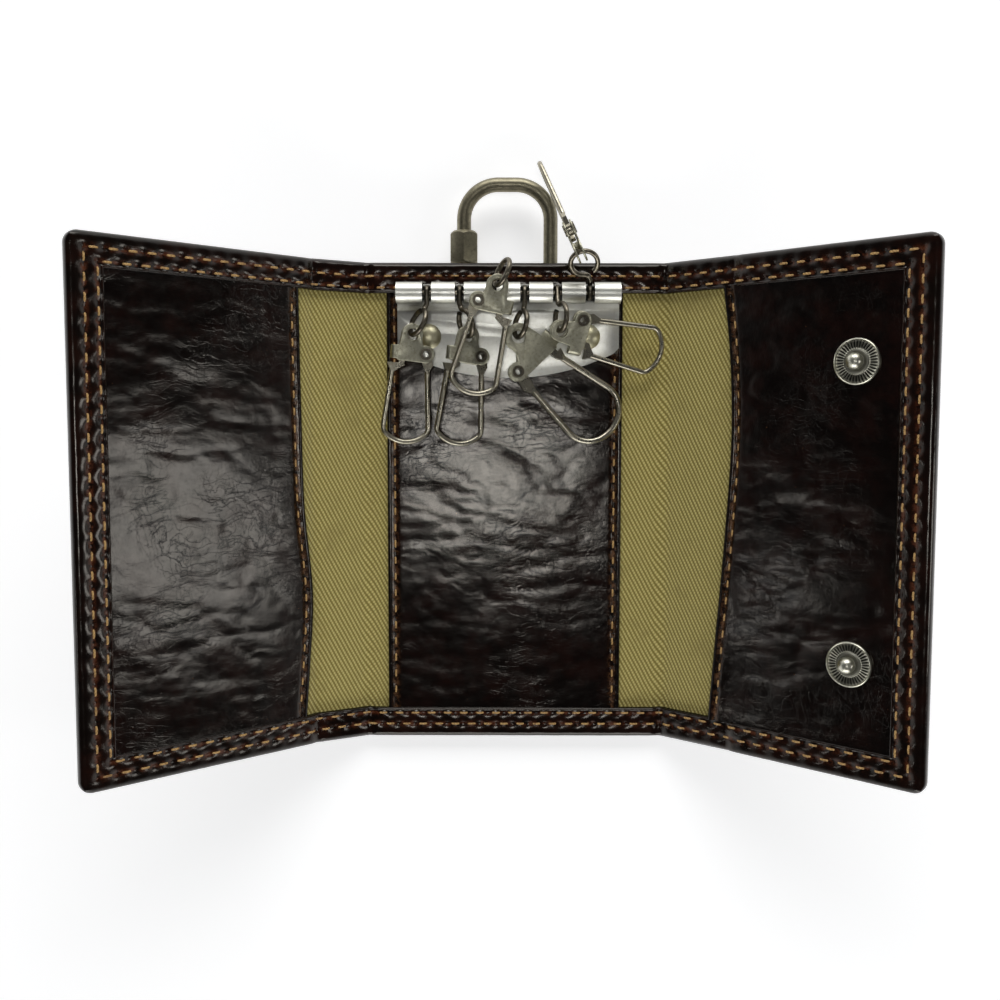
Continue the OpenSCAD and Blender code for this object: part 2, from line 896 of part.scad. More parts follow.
// Eye of a pin, its middle at the origin and its neck coming down from y_top
module pin_eye(y_top) {
    // A small bend leads the neck to the side of the ring
    side_y = sqrt(pow(pin_ring_r, 2) + 2 * pin_ring_r * pin_bend_r);
    join_deg = atan2(side_y, pin_bend_r);
    bar([0, y_top, 0], [0, side_y - lap, 0], pin_slim_d);
    translate([pin_bend_r, side_y, 0])
        bend(pin_bend_r, pin_wire_d, 180, 180 + join_deg);
    bend(pin_ring_r, pin_slim_d, 90 + pin_end_deg, 360 + join_deg + lap_deg(pin_ring_r));
}

// Eye pin: curled round the rod, bent to its lean outside the barrel, ending in an open eye
module eye_pin(n) {
    h = HOOKS[n - 1];
    side = lean(h) < 0 ? 1 : 0;
    straight = lean(h) == 0;
    color(BRASS)
        translate(rod_at(h))
            rotate([-swing(h), 0, 0]) {
                rotate([0, 90, 0])
                    bend(curl_r, pin_wire_d, -120, 180);
                if (!straight) {
                    bar([0, lap, curl_r], [0, -stem_out - lap, curl_r], pin_slim_d);
                    mirror([side, 0, 0])
                        translate([pin_bend_r, -stem_out, curl_r])
                            bend(pin_bend_r, pin_wire_d, 180, 180 + abs(lean(h)));
                }
                translate(bend_end(h) + neck_l(h) * stem_dir(h))
                    rotate([0, 0, lean(h)])
                        rotate([0, -twist(h), 0])
                            pin_eye(straight ? pin_reach + lap : neck_l(h) + lap);
            }
}

// Place a clip's own frame on its ring: hole at the origin, loop towards -Y
module at_clip(h) {
    translate(hole_at(h))
        rotate(turn(h))
            mirror([flipped(h) ? 1 : 0, 0, 0])
                children();
}

// Outline of one sheet of the folded plate
module sheet_outline(c) {
    tube = tube_at(c);
    corner = corner_at(c);
    cut = lobe_r(c) * cut_share;
    difference() {
        union() {
            circle(r = top_r(c));
            translate(tube) circle(r = lobe_r(c));
            polygon([
                [-top_r(c), 0],
                [corner[0], corner[1] + cut],
                [corner[0] + cut, corner[1]],
                [tube[0], tube[1] - lobe_r(c)],
                tube,
                [top_r(c), -top_r(c) * armpit_drop_share],
                [top_r(c) * shoulder_share, -top_r(c) * shoulder_drop_share]
            ]);
        }
        circle(d = hole_d(c));
        translate(tube) circle(d = tube_d);
    }
}

// Two sheets joined by the web where the blank was folded over
module clip_plate(n) {
    h = HOOKS[n - 1];
    c = clip(h);
    web_l = -corner_at(c)[1] / 2;
    web_x = corner_at(c)[0] - sheet_t;
    color(NICKEL)
        at_clip(h) {
            for (side = [0, 1])
                mirror([0, 0, side])
                    translate([0, 0, sheet_z])
                        linear_extrude(sheet_t) {
                            sheet_outline(c);
                            translate([web_x, corner_at(c)[1] + lobe_r(c) * cut_share])
                                square([plate_half_t, web_l]);
                        }
            translate([web_x, corner_at(c)[1] + lobe_r(c) * cut_share, 0])
                rotate([-90, 0, 0])
                    difference() {
                        cylinder(h = web_l, r = plate_half_t);
                        translate([0, 0, -over])
                            cylinder(h = web_l + 2 * over, r = sheet_z);
                        translate([0, -plate_half_t - over, -over])
                            cube([plate_half_t + over, 2 * (plate_half_t + over), web_l + 2 * over]);
                    }
        }
}

// Tubular rivet with a rolled rim on each face
module clip_rivet(n) {
    h = HOOKS[n - 1];
    reach = plate_half_t + tube_rim_h;
    color(NICKEL)
        at_clip(h)
            translate(tube_at(clip(h)))
                difference() {
                    union() {
                        translate([0, 0, -reach]) cylinder(h = 2 * reach, d = tube_d);
                        ring(tube_rim_d, tube_bore, tube_rim_h, plate_half_t);
                        ring(tube_rim_d, tube_bore, tube_rim_h, -reach);
                    }
                    translate([0, 0, -reach - over])
                        cylinder(h = 2 * (reach + over), d = tube_bore);
                }
}

// Wire loop about its own middle line: foot, bends and legs run on smoothly
module wire_loop(c, leg_top) {
    foot_deg = asin((foot_x(c) - bend_r(c)) / (foot_r(c) - bend_r(c)));
    foot_mid = [0, foot_r(c) - loop_l(c), 0];
    bend_mid = foot_mid + (foot_r(c) - bend_r(c)) * [sin(foot_deg), -cos(foot_deg), 0];
    leg_end = [leg_x(c), leg_top, 0];
    away = leg_end - bend_mid;
    leg_deg = atan2(away[1], away[0]) - acos(bend_r(c) / norm(away));
    more = lap_deg(bend_r(c));
    translate(foot_mid)
        bend(foot_r(c), wire_d(c), -foot_deg - 90, foot_deg - 90);
    for (side = [0, 1])
        mirror([side, 0, 0]) {
            translate(bend_mid)
                bend(bend_r(c), wire_d(c) * slim_share, foot_deg - 90 - more, leg_deg + more);
            bar(bend_mid + bend_r(c) * [cos(leg_deg), sin(leg_deg), 0], leg_end, wire_d(c));
        }
}

// Wire gate: a loop with flattened ends between the sheets
module wire_gate(n) {
    h = HOOKS[n - 1];
    c = clip(h);
    leg_top = corner_at(c)[1] - leg_drop_share * wire_d(c);
    color(BRASS)
        at_clip(h)
            difference() {
                union() {
                    translate([loop_mid(c), 0, 0])
                        wire_loop(c, leg_top);
                    translate([0, 0, -tongue_t / 2])
                        linear_extrude(tongue_t) {
                            hinge_end(c, leg_top);
                            catch_end(c, leg_top);
                        }
                }
                translate([tube_at(c)[0], tube_at(c)[1], -tongue_t])
                    cylinder(h = 2 * tongue_t, d = tube_d + 2 * run);
            }
}

// Flattened end that turns on the rivet
module hinge_end(c, leg_top) {
    x = loop_mid(c) + leg_x(c);
    tube = tube_at(c);
    eye_r = tube_d * eye_share;
    wide = wire_d(c);
    translate(tube) circle(r = eye_r);
    polygon([
        [x - wide * root_share, leg_top - wide / 2],
        [x + wide * root_share, leg_top - wide / 2],
        [x + wide, leg_top + wide * flare_share],
        [tube[0] + eye_r * flat_share, tube[1]],
        [tube[0] - eye_r * flat_share, tube[1]],
        [x - wide, leg_top + wide * flare_share]
    ]);
}

// Flattened end that catches between the sheets beside the web
module catch_end(c, leg_top) {
    x = loop_mid(c) - leg_x(c);
    corner = corner_at(c);
    wide = wire_d(c);
    polygon([
        [x - wide * root_share, leg_top - wide / 2],
        [x + wide * root_share, leg_top - wide / 2],
        [corner[0] + wide * catch_share, leg_top + wide],
        [corner[0] + wide * catch_share, corner[1] + wide],
        [corner[0] + wide / 2, corner[1] + wide],
        [corner[0] + wide / 2, leg_top + wide * flare_share],
        [x - wide, leg_top + wide * flare_share]
    ]);
}

outer_shell_back();
stiffener_back();
lining_back();
centre_panel();
key_rail();
rail_rod();
plate_rivets();
rivet_washers();
shackle_tab();
left_spine_shell();
left_spine_lining();
left_wing_shell();
left_wing_stiffener();
left_wing_lining();
left_pocket();
snap_sockets();
socket_eyelets();
right_spine_shell();
right_spine_lining();
right_wing_shell();
right_wing_stiffener();
right_wing_lining();
right_pocket();
snap_studs();
snap_caps();
shackle();
shackle_nut();
eye_pin(1);  // eye_pin_1
clip_plate(1);  // clip_plate_1
clip_rivet(1);  // clip_rivet_1
wire_gate(1);  // wire_gate_1
eye_pin(2);  // eye_pin_2
clip_plate(2);  // clip_plate_2
clip_rivet(2);  // clip_rivet_2
wire_gate(2);  // wire_gate_2
eye_pin(3);  // eye_pin_3
clip_plate(3);  // clip_plate_3
clip_rivet(3);  // clip_rivet_3
wire_gate(3);  // wire_gate_3
eye_pin(4);  // eye_pin_4
clip_plate(4);  // clip_plate_4
clip_rivet(4);  // clip_rivet_4
wire_gate(4);  // wire_gate_4
eye_pin(5);  // eye_pin_5
clip_plate(5);  // clip_plate_5
clip_rivet(5);  // clip_rivet_5
wire_gate(5);  // wire_gate_5
eye_pin(6);  // eye_pin_6
clip_plate(6);  // clip_plate_6
clip_rivet(6);  // clip_rivet_6
wire_gate(6);  // wire_gate_6
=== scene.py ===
"""Looks of a folding leather key case with six key clips, dressed round its measured frame."""

import json
import logging
import math
from dataclasses import dataclass, field
from enum import Enum
from typing import Callable, Iterable, Sequence

import bpy
import numpy as np
from mathutils import Matrix, Vector

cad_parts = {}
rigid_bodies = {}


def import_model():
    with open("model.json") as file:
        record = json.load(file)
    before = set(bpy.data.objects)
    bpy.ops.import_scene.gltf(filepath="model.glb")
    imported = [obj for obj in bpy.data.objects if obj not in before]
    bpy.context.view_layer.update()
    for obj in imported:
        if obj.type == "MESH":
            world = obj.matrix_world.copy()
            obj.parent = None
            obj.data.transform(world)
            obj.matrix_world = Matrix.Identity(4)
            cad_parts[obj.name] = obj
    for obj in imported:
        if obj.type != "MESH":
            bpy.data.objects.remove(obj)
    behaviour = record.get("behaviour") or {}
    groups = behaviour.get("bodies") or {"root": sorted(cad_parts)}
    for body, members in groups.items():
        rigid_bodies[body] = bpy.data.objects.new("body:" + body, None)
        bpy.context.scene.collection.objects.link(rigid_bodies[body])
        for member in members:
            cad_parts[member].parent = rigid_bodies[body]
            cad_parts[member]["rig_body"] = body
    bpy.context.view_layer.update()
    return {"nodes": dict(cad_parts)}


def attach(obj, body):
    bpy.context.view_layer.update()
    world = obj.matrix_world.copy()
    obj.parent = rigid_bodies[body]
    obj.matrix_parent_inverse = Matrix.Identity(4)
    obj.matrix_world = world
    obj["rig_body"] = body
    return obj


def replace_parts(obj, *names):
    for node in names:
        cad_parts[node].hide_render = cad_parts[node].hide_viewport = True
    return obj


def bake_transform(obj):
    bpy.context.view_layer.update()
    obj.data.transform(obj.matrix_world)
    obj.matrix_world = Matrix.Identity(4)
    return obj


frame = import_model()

LOG = logging.getLogger("key_case")
MM = 0.001
PITCH = 3.8
STEP = 0.66
EDGE_LINES = (0.0, 0.06, 0.2, 0.36, 0.55, 0.8, 1.1, 1.35, 1.6, 1.85, 2.1, 2.5)

Rule = Callable[[np.ndarray], np.ndarray]


# ---- sizes -------------------------------------------------------------------------------


class Side(Enum):
    """The two halves of the case, by the sign of their X."""

    LEFT = -1
    RIGHT = 1


@dataclass(frozen=True)
class Fold:
    """A crease: its flat distance from the middle, its angle at rest and its half width."""

    at: float
    degrees: float
    half: float = 1.8


@dataclass(frozen=True)
class CaseSizes:
    """Main sizes of the case in millimetres, laid out flat."""

    half_h: float = 55.0
    reach: float = 96.2
    corner_r: float = 2.6
    border: float = 7.0
    shell_t: float = 1.2
    lining_z: float = 1.8
    panel_z: float = 3.0
    turn_z: float = 3.4
    spine_turn_z: float = 2.8
    panel_half: float = 27.0
    stud_x: float = 80.6
    socket_x: float = -84.0
    snap_y: float = 30.8
    left: tuple[Fold, Fold] = (Fold(31.0, 26.5), Fold(44.0, 13.2))
    right: tuple[Fold, Fold] = (Fold(36.0, 38.3), Fold(53.6, 2.0))

    def folds(self, side: Side) -> tuple[Fold, Fold]:
        """The inner and the outer crease of one side."""
        return self.left if side is Side.LEFT else self.right

    def split(self, side: Side) -> float:
        """The middle of a spine, where the pieces of two joints meet."""
        inner, outer = self.folds(side)
        return (inner.at + outer.at) / 2


CASE = CaseSizes()


def smooth(t: np.ndarray) -> np.ndarray:
    """Smooth step of values that are cut to 0 and 1."""
    t = np.clip(t, 0.0, 1.0)
    return t * t * (3.0 - 2.0 * t)


def bell(offset: np.ndarray, width: float) -> np.ndarray:
    """1 at no offset and 0 well beyond the width."""
    return np.exp(-(offset / width) ** 2)


def drop(d: np.ndarray, radius: float) -> np.ndarray:
    """How far a rounded edge has dropped at distances in from it."""
    return radius - np.sqrt(np.clip(radius ** 2 - np.clip(radius - d, 0, radius) ** 2, 0, None))


def wave(phase: np.ndarray) -> np.ndarray:
    """A cosine wave from 0 to 1, with 1 at whole numbers."""
    return 0.5 + 0.5 * np.cos(2 * math.pi * phase)


class FoldMap:
    """Turns points of the flat case into their places in the case at rest."""

    def world(self, flat: np.ndarray) -> np.ndarray:
        """Folds points up about the four creases.

        Args:
            flat: Points of the flat case in millimetres, one a row.

        Returns:
            The points of the folded case in millimetres.
        """
        out = flat.copy()
        for side in Side:
            along = side.value * flat[:, 0]
            for fold in reversed(CASE.folds(side)):
                turn = math.radians(fold.degrees) * smooth((along - fold.at + fold.half) / (2 * fold.half))
                x = side.value * out[:, 0] - fold.at
                z = out[:, 2] - CASE.turn_z
                bent = along > fold.at - fold.half
                new_x = side.value * (x * np.cos(turn) - z * np.sin(turn) + fold.at)
                new_z = x * np.sin(turn) + z * np.cos(turn) + CASE.turn_z
                out[:, 0] = np.where(bent, new_x, out[:, 0])
                out[:, 2] = np.where(bent, new_z, out[:, 2])
        return out

    def point(self, x: float, y: float = 0.0, z: float = CASE.turn_z) -> tuple[float, float, float]:
        """One flat point in millimetres as its place at rest in metres."""
        return tuple(float(v) * MM for v in self.world(np.array([[x, y, z]]))[0])


FOLDS = FoldMap()


# ---- mesh tools --------------------------------------------------------------------------


def deselect() -> None:
    """Leaves edit mode and clears the selection."""
    if bpy.context.object and bpy.context.object.mode != "OBJECT":
        bpy.ops.object.mode_set(mode="OBJECT")
    bpy.ops.object.select_all(action="DESELECT")


def only(obj: bpy.types.Object) -> None:
    """Makes an object the only selected one and the active one.

    Args:
        obj: The object.
    """
    deselect()
    obj.select_set(True)
    bpy.context.view_layer.objects.active = obj


def alter(obj: bpy.types.Object, operator: Callable[..., object], **options: object) -> None:
    """Runs an edit mode operator on a whole mesh.

    Args:
        obj: The object.
        operator: The operator.
        options: Its options.
    """
    only(obj)
    bpy.ops.object.mode_set(mode="EDIT")
    bpy.ops.mesh.select_all(action="SELECT")
    operator(**options)
    bpy.ops.object.mode_set(mode="OBJECT")


def turn_outwards(obj: bpy.types.Object) -> None:
    """Turns the faces of a closed mesh outwards."""
    alter(obj, bpy.ops.mesh.normals_make_consistent, inside=False)


def link(name: str, data: bpy.types.ID) -> bpy.types.Object:
    """Adds an object with given data to the scene.

    Args:
        name: Name of the object.
        data: Its mesh, lamp or camera.

    Returns:
        The object.
    """
    obj = bpy.data.objects.new(name, data)
    bpy.context.scene.collection.objects.link(obj)
    return obj


def read(obj: bpy.types.Object) -> np.ndarray:
    """The vertices of a mesh.

    Args:
        obj: The mesh's object.

    Returns:
        The vertices, one a row.
    """
    co = np.empty(len(obj.data.vertices) * 3)
    obj.data.vertices.foreach_get("co", co)
    return co.reshape(-1, 3)


def write(obj: bpy.types.Object, co: np.ndarray) -> None:
    """Sets the vertices of a mesh."""
    obj.data.vertices.foreach_set("co", co.ravel())
    obj.data.update()


def keep(obj: bpy.types.Object, name: str, values: np.ndarray) -> None:
    """Stores values on the vertices of a mesh.

    Args:
        obj: The mesh's object.
        name: Name of the new attribute.
        values: A row of three a vertex for vectors, or one a vertex for numbers.
    """
    kind, key = ("FLOAT_VECTOR", "vector") if values.ndim == 2 else ("FLOAT", "value")
    attribute = obj.data.attributes.new(name, kind, "POINT")
    attribute.data.foreach_set(key, values.astype(np.float32).ravel())


def put_flat(obj: bpy.types.Object, flat: np.ndarray) -> None:
    """Folds a flat piece to its place and remembers its flat points for its material.

    Args:
        obj: The piece.
        flat: Its vertices in the flat case, in millimetres.
    """
    write(obj, FOLDS.world(flat) * MM)
    keep(obj, "flat", flat * MM)


def finish_mesh(obj: bpy.types.Object, name: str, degrees: float = 50.0) -> None:
    """Names a piece and shades it smooth up to an angle.

    Args:
        obj: The piece.
        name: Its name.
        degrees: Sharpest angle that is shaded smooth.
    """
    obj.name = obj.data.name = name
    only(obj)
    bpy.ops.object.shade_smooth_by_angle(angle=math.radians(degrees))


def slab(xs: Sequence[float], ys: Sequence[float], thick: float) -> bpy.types.Object:
    """Adds a grid on given lines and extrudes it to a closed sheet.

    Args:
        xs: X of the lines across.
        ys: Y of the lines up.
        thick: Thickness, upwards from zero.

    Returns:
        The new object.
    """
    deselect()
    across, up = len(xs) - 1, len(ys) - 1
    bpy.ops.mesh.primitive_grid_add(x_subdivisions=across, y_subdivisions=up, size=2.0)
    obj = bpy.context.object
    co = read(obj)
    i = np.rint((co[:, 0] + 1) / 2 * across).astype(int)
    j = np.rint((co[:, 1] + 1) / 2 * up).astype(int)
    co[:, 0], co[:, 1] = np.asarray(xs)[i], np.asarray(ys)[j]
    write(obj, co)
    alter(obj, bpy.ops.mesh.extrude_region_move, TRANSFORM_OT_translate={"value": (0, 0, thick)})
    turn_outwards(obj)
    return obj


def bore_sockets(obj: bpy.types.Object, radius: float = 3.3, depth: float = 8.0) -> None:
    """Bores the holes of both snap sockets through a slab of the left wing.

    Args:
        obj: The slab, before it gets its heights.
        radius: Radius of the holes in millimetres.
        depth: Length of the cutters, more than the slab is thick.
    """
    for y in (-CASE.snap_y, CASE.snap_y):
        deselect()
        bpy.ops.mesh.primitive_cylinder_add(vertices=32, radius=radius, depth=depth)
        cutter = bpy.context.object
        write(cutter, read(cutter) + np.array([CASE.socket_x, y, 0.0]))
        only(obj)
        bore = obj.modifiers.new("bore", "BOOLEAN")
        bore.operation, bore.solver, bore.object = "DIFFERENCE", "EXACT", cutter
        bpy.ops.object.modifier_apply(modifier="bore")
        only(cutter)
        bpy.ops.object.delete()


def lines(start: float, stop: float, step: float) -> list[float]:
    """Evenly spaced values from start to stop, about a step apart."""
    return list(np.linspace(start, stop, max(2, int(round(abs(stop - start) / step)) + 1)))


def copies(name: str, part: bpy.types.Object, places: Iterable[Rule], mark: str) -> bpy.types.Object:
    """Copies one small part to many places, all in one mesh.

    Args:
        name: Name of the new object.
        part: The part to copy, which is removed.
        places: For each copy, a function from the part's vertices to the copy's.
        mark: Name of the vertex attribute that keeps the part's own coordinates.

    Returns:
        The new object.
    """
    own = read(part)
    faces = [tuple(p.vertices) for p in part.data.polygons]
    placed = [place(own) for place in places]
    mesh = bpy.data.meshes.new(name)
    mesh.from_pydata(np.concatenate(placed).tolist(), [],
                     [tuple(v + k * len(own) for v in f) for k in range(len(placed)) for f in faces])
    obj = link(name, mesh)
    keep(obj, mark, np.tile(own, (len(placed), 1)))
    bpy.data.objects.remove(part)
    only(obj)
    bpy.ops.object.shade_smooth()
    return obj


class Ripples:
    """Smooth random heights over a plane, the same in each run."""

    def __init__(self, seed: int, cells: int = 128) -> None:
        """Fills the table of random heights."""
        self.cells = cells
        self.table = np.random.default_rng(seed).random((cells, cells))

    def at(self, x: np.ndarray, y: np.ndarray) -> np.ndarray:
        """Heights at points of the plane, one cell to a unit.

        Args:
            x: X of the points.
            y: Y of the points.

        Returns:
            Heights from 0 to 1.
        """
        i, j = np.floor(x).astype(int), np.floor(y).astype(int)
        u, v = smooth(x - i), smooth(y - j)
        n, t = self.cells, self.table
        low = t[i % n, j % n] * (1 - u) + t[(i + 1) % n, j % n] * u
        high = t[i % n, (j + 1) % n] * (1 - u) + t[(i + 1) % n, (j + 1) % n] * u
        return low * (1 - v) + high * v

    def rough(self, x: np.ndarray, y: np.ndarray, layers: int = 3) -> np.ndarray:
        """Heights with finer and weaker layers added.

        Args:
            x: X of the points.
            y: Y of the points.
            layers: Number of layers.

        Returns:
            Heights from 0 to 1.
        """
        total, weight = np.zeros_like(x), 0.0
        for k in range(layers):
            total += self.at(x * 2 ** k + 17.3 * k, y * 2 ** k - 9.1 * k) / 2 ** k
            weight += 1 / 2 ** k
        return total / weight

    def crease(self, x: np.ndarray, y: np.ndarray, sharp: float = 6.0) -> np.ndarray:
        """1 along thin wandering lines and 0 away from them."""
        return bell(self.rough(x, y) - 0.5, 0.5 / sharp)


# ---- stitched borders --------------------------------------------------------------------


@dataclass(frozen=True)
class SeamRow:
    """A row of stitches along the border, and its distance in from the edge."""

    inset: float
    length: float = PITCH

    def pitch(self, half: float) -> float:
        """Pitch of the stitches that fits a whole number of them between two corners."""
        run = 2 * (half - self.inset)
        return run / round(run / self.length)

    def hole(self, half: float, along: np.ndarray) -> np.ndarray:
        """1 at a needle hole and 0 between two, at places along the row."""
        return wave((half - self.inset - np.abs(along)) / self.pitch(half))

    def middles(self, half: float, start: float, stop: float) -> list[float]:
        """Middles of the stitches between two places along the row.

        Args:
            half: Half length of the rim.
            start: The first place.
            stop: The second place.

        Returns:
            Places along the row.
        """
        reach, pitch = half - self.inset, self.pitch(half)
        found = [-reach + (k + 0.5) * pitch for k in range(round(2 * reach / pitch))]
        return [m for m in found if start <= m < stop]


ROWS = (SeamRow(3.2), SeamRow(5.8))
RIM_LINES = (0.0, 0.05, 0.18, 0.38, 0.66, 1.0, 1.45, 2.0, 2.45, 2.8, 3.1, 3.4, 3.7, 4.1, 4.55,
             5.0, 5.35, 5.65, 5.95, 6.2, 6.35, 6.5, 6.64, 6.78, 6.88, 6.94, 7.0, 7.04)


@dataclass
class BorderSkin:
    """Heights of the outer leather: its rounded edge, turned border, stitch puckers and bead."""

    round_top: float = 1.5
    round_low: float = 1.35
    round_in: float = 0.35
    wall_low: float = 1.55
    wall_high: float = 1.75
    pull: float = 0.3
    pull_w: float = 0.55
    pillow: float = 0.16
    pillow_w: float = 1.5
    slope: float = 1.8
    bead_in: float = 6.68
    groove_in: float = 6.3
    ripples: Ripples = field(default_factory=lambda: Ripples(5))

    def level(self, x: np.ndarray) -> np.ndarray:
        """Height of the border's top, which is lower over the two spines.

        Args:
            x: Flat X.

        Returns:
            The height.
        """
        low = np.zeros_like(x)
        for side in Side:
            inner, outer = CASE.folds(side)
            a = side.value * x
            low += smooth((a - inner.at) / self.slope + 0.5) * smooth((outer.at - a) / self.slope + 0.5)
        return CASE.turn_z - (CASE.turn_z - CASE.spine_turn_z) * low

    def crease(self, x: np.ndarray, width: float = 0.75) -> np.ndarray:
        """1 along the four creases and 0 away from them."""
        return sum(bell(side.value * x - fold.at, width) for side in Side for fold in CASE.folds(side))

    def rims(self, x: np.ndarray, y: np.ndarray, wing: bool) -> tuple[np.ndarray, np.ndarray, np.ndarray]:
        """Distance in from the edge, place along it and its half length.

        Args:
            x: Flat X.
            y: Flat Y.
            wing: Whether the piece has an outer edge too.

        Returns:
            The distance, the place along the rim and the rim's half length.
        """
        top = CASE.half_h - np.abs(y)
        end = CASE.reach - np.abs(x) if wing else np.full_like(x, 1e6)
        along = np.where(top <= end, x, y)
        half = np.where(top <= end, CASE.reach, CASE.half_h)
        return np.minimum(top, end), along, half

    def holes(self, row: SeamRow, along: np.ndarray, half: np.ndarray) -> np.ndarray:
        """Needle holes of a row, on the long rims and on the end rims."""
        return np.where(half > (CASE.reach + CASE.half_h) / 2,
                        row.hole(CASE.reach, along), row.hole(CASE.half_h, along))

    def puckers(self, d: np.ndarray, along: np.ndarray, half: np.ndarray) -> np.ndarray:
        """How far the stitches pull the leather in.

        Args:
            d: Distance in from the edge.
            along: Place along the rim.
            half: The rim's half length.

        Returns:
            The pull, below zero where the leather swells.
        """
        out = np.zeros_like(d)
        for row in ROWS:
            hole = self.holes(row, along, half)
            out += self.pull * bell(d - row.inset, self.pull_w) * (0.3 + 0.7 * hole ** 2)
            out += self.pillow * bell(d - row.inset, self.pillow_w) * (hole - 0.4)
        return out

    def heights(self, x: np.ndarray, y: np.ndarray, wing: bool) -> tuple[np.ndarray, np.ndarray, np.ndarray]:
        """Top and bottom heights of the leather, and the mask of its worn stitch lines.

        Args:
            x: Flat X.
            y: Flat Y.
            wing: Whether the piece has an outer edge too.

        Returns:
            Top height, bottom height and wear.
        """
        d, along, half = self.rims(x, y, wing)
        rough = self.ripples.rough(x * 0.35, y * 0.35) - 0.5
        pull = self.puckers(d, along, half)
        bead = 0.1 * bell(d - self.bead_in, 0.16) - 0.14 * bell(d - self.groove_in, 0.12)
        lips = drop(d, self.round_top) + drop(CASE.border - d, self.round_in)
        top = self.level(x) - lips - pull + bead + 0.14 * rough
        top -= 0.35 * self.crease(x) * smooth(d / 1.5)
        top = np.where(d > CASE.border - 1e-6, CASE.shell_t, top)
        low = drop(d, self.round_low) + 0.8 * pull * smooth(d / 1.4) + 0.06 * (rough + 0.5)
        wear = sum(bell(d - row.inset, self.pull_w) for row in ROWS)
        return np.maximum(top, np.where(d < 1.0, self.wall_high, 0.0)), np.minimum(low, self.wall_low), wear


SKIN = BorderSkin()


def round_corner(x: np.ndarray, y: np.ndarray) -> tuple[np.ndarray, np.ndarray]:
    """Draws the square corners of the flat wings in to their radius.

    Args:
        x: Flat X with square corners.
        y: Flat Y with square corners.

    Returns:
        Flat X and Y with round corners.
    """
    r = CASE.corner_r
    u = np.clip((np.abs(x) - (CASE.reach - r)) / r, 0, 1)
    v = np.clip((np.abs(y) - (CASE.half_h - r)) / r, 0, 1)
    inside = (u > 0) & (v > 0)
    new_x = CASE.reach - r + r * u * np.sqrt(1 - v * v / 2)
    new_y = CASE.half_h - r + r * v * np.sqrt(1 - u * u / 2)
    return np.where(inside, np.sign(x) * new_x, x), np.where(inside, np.sign(y) * new_y, y)


# ---- materials ---------------------------------------------------------------------------

Colour = tuple[float, float, float, float]
WHITE: Colour = (1.0, 1.0, 1.0, 1.0)
# Near black of the inked edges and lines, used also for the painted shade along creases.
INK_AND_SHADE: Colour = (0.003, 0.002, 0.002, 1.0)
# Near black of the painted shade on metal parts, in their recesses and on the shaded sides of the rail's
# barrel.
PAINTED_SHADE: Colour = (0.008, 0.007, 0.006, 1.0)
PER_METRE = 1000.0


def srgb(red: int, green: int, blue: int) -> Colour:
    """A screen colour as linear light.

    Args:
        red: Its red, up to 255.
        green: Its green.
        blue: Its blue.

    Returns:
        The colour.
    """
    def linear(c: float) -> float:
        """One channel as linear light."""
        return c / 12.92 if c <= 0.04045 else ((c + 0.055) / 1.055) ** 2.4
    return (*(linear(c / 255) for c in (red, green, blue)), 1.0)


class Value:
    """An output in a node tree that takes part in sums as a number does."""

    def __init__(self, graph: "Graph", socket: bpy.types.NodeSocket) -> None:
        """Holds the tree and the output."""
        self.graph, self.socket = graph, socket

    def __add__(self, other: "Value | float") -> "Value":
        """The sum."""
        return self.graph.math("ADD", self, other)

    def __sub__(self, other: "Value | float") -> "Value":
        """The difference."""
        return self.graph.math("SUBTRACT", self, other)

    def __rsub__(self, other: float) -> "Value":
        """The difference from a plain number."""
        return self.graph.math("SUBTRACT", other, self)

    def __mul__(self, other: "Value | float") -> "Value":
        """The product."""
        return self.graph.math("MULTIPLY", self, other)

    def __abs__(self) -> "Value":
        """The value without its sign."""
        return self.graph.math("ABSOLUTE", self)

    def max(self, other: "Value | float") -> "Value":
        """The larger of two values."""
        return self.graph.math("MAXIMUM", self, other)

    def wave(self) -> "Value":
        """A sine wave of the value, from 0 to 1."""
        return self.graph.math("SINE", self) * 0.5 + 0.5

    def cut(self) -> "Value":
        """The same value, kept between 0 and 1."""
        self.socket.node.use_clamp = True
        return self

    def remap(self, low: float, high: float, to_low: float = 0.0, to_high: float = 1.0) -> "Value":
        """The value moved smoothly from one range to another and kept in it.

        Args:
            low: Start of its range.
            high: End of its range.
            to_low: Result at the start.
            to_high: Result at the end.

        Returns:
            The moved value.
        """
        values = {"Value": self, "From Min": low, "From Max": high, "To Min": to_low, "To Max": to_high}
        return self.graph.add("ShaderNodeMapRange", values, interpolation_type="SMOOTHSTEP")


